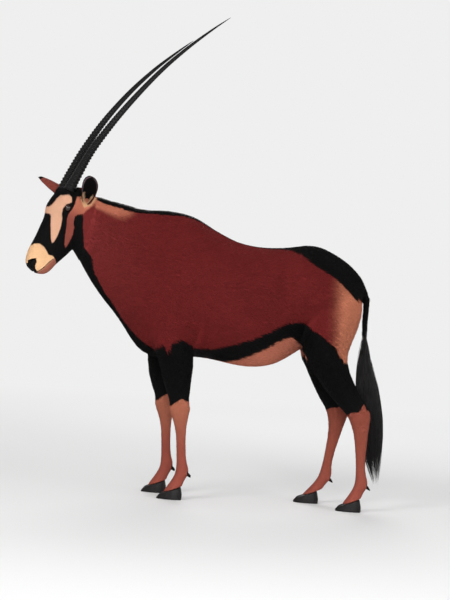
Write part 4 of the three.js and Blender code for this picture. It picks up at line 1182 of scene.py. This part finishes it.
def tail_hairs(count, seed):
    chance = np.random.default_rng(seed)
    t = np.linspace(0, 1, LOCK_POINTS)
    for _ in range(count):
        top = chance.uniform(560, 735) if chance.random() < 0.8 else chance.uniform(735, 800)
        reach = chance.beta(2.2, 1.5)
        low = max(top - 120 - reach * 520, chance.uniform(104, 250))
        turn, out = chance.uniform(0, 2 * math.pi), math.sqrt(chance.uniform(0.03, 1.0))
        z = np.linspace(top, low, LOCK_POINTS)
        front, back, half = (np.interp(z, SWITCH[:, 0], SWITCH[:, k]) for k in (1, 2, 3))
        grow = out * (0.25 + 0.75 * eased(0, 0.5, t)) * 0.97
        swing = turn + 0.25 * np.sin(t * chance.uniform(2, 5) + chance.uniform(0, 6)) * t
        x = (front + back) / 2 + (back - front) / 2 * grow * np.cos(swing)
        path = np.stack((x, half * grow * np.sin(swing), z), axis=1)
        breadth = chance.uniform(1.0, 2.1) * np.clip(0.6 + 1.2 * t, 0, 1) * (1 - t) ** 0.55 + 0.05
        yield path, breadth, chance.uniform(0, 1) ** 2


grow_locks("tail_switch", tail_hairs(2600, seed=5), "dark_coat", "tail_tuft")


# %% [markdown]
# ## The short coat
# Close up, the coat is many thin pointed tufts that overlap and lie almost flat. One tuft is six triangles: a
# sunk root, a belly and a tip. A rule scatters it over a region of the skin, turns it along the lie, and sizes
# it by the length kept there, so that the face gets the smallest ones. The regions keep each piece light.
# %% One tuft
TUFT_CORNERS = [(-0.1, 0, -0.12), (0.36, 0.5, 0.0), (0.36, -0.5, 0.0), (0.34, 0, 0.5), (1.0, 0, 0.05)]
TUFT_FACES = [(0, 1, 2), (0, 3, 1), (0, 2, 3), (4, 2, 1), (4, 1, 3), (4, 3, 2)]
tuft = bpy.data.meshes.new("tuft")
tuft.from_pydata(TUFT_CORNERS, [], TUFT_FACES)
outward(tuft)
put_attribute(tuft, "tip", "FLOAT", "value", [0, 0.4, 0.4, 0.4, 1])
put_attribute(tuft, "patch", "FLOAT_VECTOR", "vector",
              [(0, 0.5, 0), (0.4, 0, 0), (0.4, 1, 0), (0.4, 0.5, 0), (1, 0.5, 0)])
blade = bpy.data.objects.new("tuft", tuft)
print("a tuft has", len(TUFT_FACES), "triangles")

# %% [markdown]
# The way of a tuft is the lie with a little chance and a slow swirl, laid flat on the skin and lifted by a small
# angle. Its length and breadth vary by a quarter.
# %% The rule for a coat of tufts
fur = Rule("coat of tufts", Area=int, Density=float, Breadth=float, Lift=float, Stray=float, Seed=int, Blade="object")
chosen = fur.node("FunctionNodeCompare", {"A_INT": fur.named("area", "INT"), "B_INT": fur.input("Area")},
                  data_type="INT", operation="EQUAL")
roots = fur.node("GeometryNodeDistributePointsOnFaces", {
    "Mesh": fur.input("Geometry"), "Selection": chosen, "Density": fur.input("Density") * fur.named("haired"),
    "Seed": fur.input("Seed")}, distribute_method="RANDOM")
kept = fur.node("GeometryNodeStoreNamedAttribute", {
    "Geometry": roots, "Name": "out", "Value": Wire(fur, roots.socket.node.outputs["Normal"])},
    data_type="FLOAT_VECTOR", domain="POINT")
kept = fur.node("GeometryNodeStoreNamedAttribute", {"Geometry": kept, "Name": "tone",
                                                    "Value": fur.chance(0.0, 1.0, 3)}, data_type="FLOAT",
                domain="POINT")
out, lean = fur.named("out", "FLOAT_VECTOR"), fur.named("lie", "FLOAT_VECTOR")
wander = fur.node("FunctionNodeRandomValue", {"Min": (-1, -1, -1), "Max": (1, 1, 1), "Seed": 7}, "Value",
                  data_type="FLOAT_VECTOR")
swirl = fur.node("ShaderNodeTexNoise", {"Vector": fur.node("GeometryNodeInputPosition"), "Scale": 9.0}, "Color")
swirl = fur.vector("SUBTRACT", swirl, (0.5, 0.5, 0.5))
way = fur.vector("ADD", lean, fur.vector("SCALE", wander, fur.input("Stray")))
way = fur.vector("ADD", way, fur.vector("SCALE", swirl, 0.9))
level = fur.vector("DOT_PRODUCT", way, out, "Value")
way = fur.vector("SUBTRACT", way, fur.vector("SCALE", out, level))
way = fur.node("ShaderNodeVectorMath", {0: way}, operation="NORMALIZE")
way = fur.vector("ADD", way, fur.vector("SCALE", out, fur.input("Lift") * fur.chance(0.6, 1.5, 11)))
turn = fur.node("FunctionNodeAlignRotationToVector", {"Vector": way}, axis="X")
turn = fur.node("FunctionNodeAlignRotationToVector", {"Rotation": turn, "Vector": out}, axis="Z", pivot_axis="X")
tall = fur.named("long") * fur.chance(0.75, 1.25, 17)
wide = (fur.named("long") * fur.input("Breadth") + 0.0003) * fur.chance(0.8, 1.25, 19)
size = fur.node("ShaderNodeCombineXYZ", {"X": tall, "Y": wide, "Z": wide * 0.5})
model = fur.node("GeometryNodeObjectInfo", {"Object": fur.input("Blade")}, "Geometry")
fur.finish(fur.node("GeometryNodeInstanceOnPoints", {"Points": kept, "Instance": model, "Rotation": turn,
                                                     "Scale": size}))


# %% [markdown]
# ## Finishes of skin and coat
# Both read the same two layers: the colour of the ground, and the distance to the nearest black edge. Each tuft
# crosses that edge a little sooner or later than its neighbours, so the marks end as hair does, in fine teeth.
# %% Hair and hide
BLACK = paint(4, 3, 3)


def coat_colour(finish, ragged, softness, light):
    """The ground's colour or black, by the distance to the black edge, times the light of the hair."""
    dark = (finish.attribute("black") + ragged).smooth(softness, -softness)
    base = finish.blend(finish.attribute("ground", "Color"), BLACK, dark)
    patchy = finish.cloud(11, 3) * 0.24 + 0.88
    finish.feed("Base Color", finish.shaded(base, light * patchy))


coat_finish = Finish("short coat", Roughness=0.62, Specular_IOR_Level=0.1)
tone, tip = coat_finish.attribute("tone"), coat_finish.attribute("tip")
coat_colour(coat_finish, (tone - 0.5) * 4.5, 0.5, (tone * 0.26 + 0.82) * (tip * 0.24 + 0.92))

hide = Finish("hide", Roughness=0.7, Specular_IOR_Level=0.1)
down_legs = hide.cloud(1.0, 3, 0.65, (520, 520, 60))
along_flanks = hide.cloud(1.0, 3, 0.65, (60, 520, 520), 18)
strands = along_flanks + (down_legs - along_flanks) * hide.attribute("leg")
coat_colour(hide, (strands - 0.5) * 4, 0.7, strands * 0.36 + 0.78)
hide.relief(strands, 0.0015, 0.7)
skin.data.materials.clear()
skin.data.materials.append(hide.material)
print("hide has", len(hide.tree.nodes), "nodes")

# %% [markdown]
# The coat is grown in nine regions, each with its own number of triangles. The density follows from the region's
# haired area.
# %% Regions of the coat
# Each region's most triangles, how far the tufts lift and stray, and their breadth.
TRUNK, FINE, LEG = (0.15, 0.17, 0.1), (0.2, 0.14, 0.1), (0.2, 0.14, 0.16)
REGIONS = {"left_fore": (180000, TRUNK), "left_rear": (180000, TRUNK), "right_fore": (180000, TRUNK),
           "right_rear": (180000, TRUNK), "neck": (150000, TRUNK), "head": (186000, FINE),
           "fore_legs": (120000, LEG), "hind_legs": (150000, LEG), "ears": (48000, FINE)}
MIDDLE_X = 0.17
faces = skin.data.polygons
middle, size = column(faces, "center"), column(faces, "area", 1)[:, 0]
corner = column(skin.data.loops, "vertex_index", 1, int)[::3, 0]
of_part = part[corner]
trunk = np.where(middle[:, 1] > 0, 2, 0) + (middle[:, 0] > MIDDLE_X)
area = np.select([of_part == TORSO, of_part == NECK, of_part == HEAD, of_part == DOCK, of_part <= max(FORELEGS),
                  of_part <= max(HIND_LEGS)], [trunk, 4, 5, 3, 6, 7], 8)
skin.data.attributes.new("area", "INT", "FACE").data.foreach_set("value", area.astype(np.int32))
haired = size * (1 - bald)[corner]
covered = [float(haired[area == k].sum()) for k in range(len(REGIONS))]
print({name: round(c, 3) for name, c in zip(REGIONS, covered)}, "square metres")

# %% [markdown]
# For the bake each tuft needs a flat place of its own. It gets a small patch at its root's place on the skin's
# unwrap, so the whole coat shares one map.
# %% Grow the coat
PATCH_SIZE = 0.003


def map_tufts(mesh):
    root = column(mesh.attributes["Hide"].data, "vector", 2, np.float32)
    patch = column(mesh.attributes["patch"].data, "vector", 3, np.float32)[:, :2]
    own = root + (patch - 0.5) * PATCH_SIZE
    index = column(mesh.loops, "vertex_index", 1, np.int32)[:, 0]
    for name in ("Hide", "patch", "lie", "long", "haired", "out", "leg", "area"):
        if name in mesh.attributes:
            mesh.attributes.remove(mesh.attributes[name])
    mesh.uv_layers.new(name="OFBake").data.foreach_set("uv", own[index].astype(np.float32).ravel())


for k, (name, (most, (lift, stray, breadth))) in enumerate(REGIONS.items()):
    coat = fur.grow(f"coat_{name}", skin.data.copy(), coat_finish, Area=k, Breadth=breadth, Lift=lift, Stray=stray,
                    Density=most / len(TUFT_FACES) / covered[k], Seed=100 + k, Blade=blade)
    map_tufts(coat.data)
    settled(coat, "leg_coat" if "legs" in name else "coat")
settled(skin, "coat", *FLESH, "ear_left", "ear_right")

# %% [markdown]
# ## Mane, lashes and ear hair
# A short stiff mane of black hair runs from the poll to the withers. The eyes have dark lashes, and pale hairs
# guard the way into each ear. They are longer than the coat, so they are locks along paths, as on the tail.
# %% A short mane
skin_tree = BVHTree.FromPolygons(points_of(skin.data).tolist(), [tuple(p.vertices) for p in skin.data.polygons])
ALONG_LOCK = np.linspace(0, 1, 5)[:, None]
DOWN, SKY = Vector((0, 0, -1)), 1600


def mane_hairs(count, seed):
    chance = np.random.default_rng(seed)
    for _ in range(count):
        x = chance.uniform(-578, -60)
        y = float(crest_y(x)) + chance.normal(0, 5.5)
        hit, out, face, _ = skin_tree.ray_cast(Vector(placed((x, y, SKY))), DOWN)
        if hit is None or part[skin.data.polygons[face].vertices[0]] > NECK:
            continue
        out = np.array(out)
        reach = np.interp(x, [-578, -450, -250, -60], [26, 33, 28, 12]) * chance.uniform(0.7, 1.1)
        way = unit(unit((0.85, 0.08 + chance.normal(0, 0.14), -0.12)) + out * chance.uniform(0.3, 0.62))
        root = measured(np.array(hit)) - out * 1.5
        path = root + reach * ALONG_LOCK * way - np.array((0, 0, 0.22 * reach)) * ALONG_LOCK ** 2
        breadth = np.array([0.8, 1.0, 0.8, 0.5, 0.08]) * chance.uniform(0.8, 1.2)
        yield path, breadth, chance.uniform(0, 0.8) ** 2


grow_locks("mane", mane_hairs(2400, seed=8), "dark_coat")

# %% [markdown]
# Lashes stand along the upper lid and curl upwards. The hairs of the ear lean in from both of its edges.
# %% Lashes and ear hair
pale_hair = Finish("pale ear hair", Roughness=0.6, Specular_IOR_Level=0.2)
shade = pale_hair.attribute("shade")
pale_hair.feed("Base Color", pale_hair.blend(paint(196, 150, 116), paint(240, 206, 170), shade))
LOCK_TAPER = np.array([1.0, 1.0, 0.75, 0.45, 0.08])


def lash_paths(seed):
    chance = np.random.default_rng(seed)
    for side in (1, -1):
        centre, along, lid, look = eye_frame(side)
        for a in np.radians(np.linspace(28, 168, 40)):
            p, q = 19.6 * math.cos(a), 13.0 * math.sin(a) ** 1.2 - 1.5 * math.cos(a) + 0.5
            h = math.sqrt(max(EYE_RADIUS ** 2 - p * p - q * q, 0)) + 1.9
            reach = (6 + 5 * math.sin(a)) * chance.uniform(0.8, 1.15)
            way = unit(look * 0.85 + lid * 0.35 + along * (0.25 * math.cos(a) + chance.normal(0, 0.08)))
            root = centre + p * along + q * lid + h * look
            yield on_head(root + reach * ALONG_LOCK * way + lid * reach * 0.45 * ALONG_LOCK ** 2)


def ear_hair_paths(seed, count=150):
    chance = np.random.default_rng(seed)
    for number in EARS:
        root, axis, opening, side = ear_frame(number)
        for _ in range(count):
            start = chance.uniform(22, 62)
            half, deep, _ = ear_size(start)
            a = math.radians(chance.choice((-1, 1)) * chance.uniform(70, 118))
            sunk = math.cos(a) * (deep - 3) + 6 * start / EAR_LENGTH
            foot = root + axis * start + side * math.sin(a) * (half - 3.4) - opening * sunk
            reach = chance.uniform(14, 26)
            way = unit(axis * 0.9 - side * math.sin(a) * chance.uniform(0.1, 0.5)
                       + opening * chance.uniform(-0.1, 0.25))
            yield foot + reach * ALONG_LOCK * way


for name, paths, thick, finish, slot in (("lashes", lash_paths(3), 0.35, black_hair, "dark_coat"),
                                         ("ear_hair", ear_hair_paths(4), 0.55, pale_hair, "coat")):
    hairs = [(path, LOCK_TAPER * thick, (7 * k % 10) / 10) for k, path in enumerate(paths)]
    grow_locks(name, hairs, slot, finish=finish, flatness=0.6)
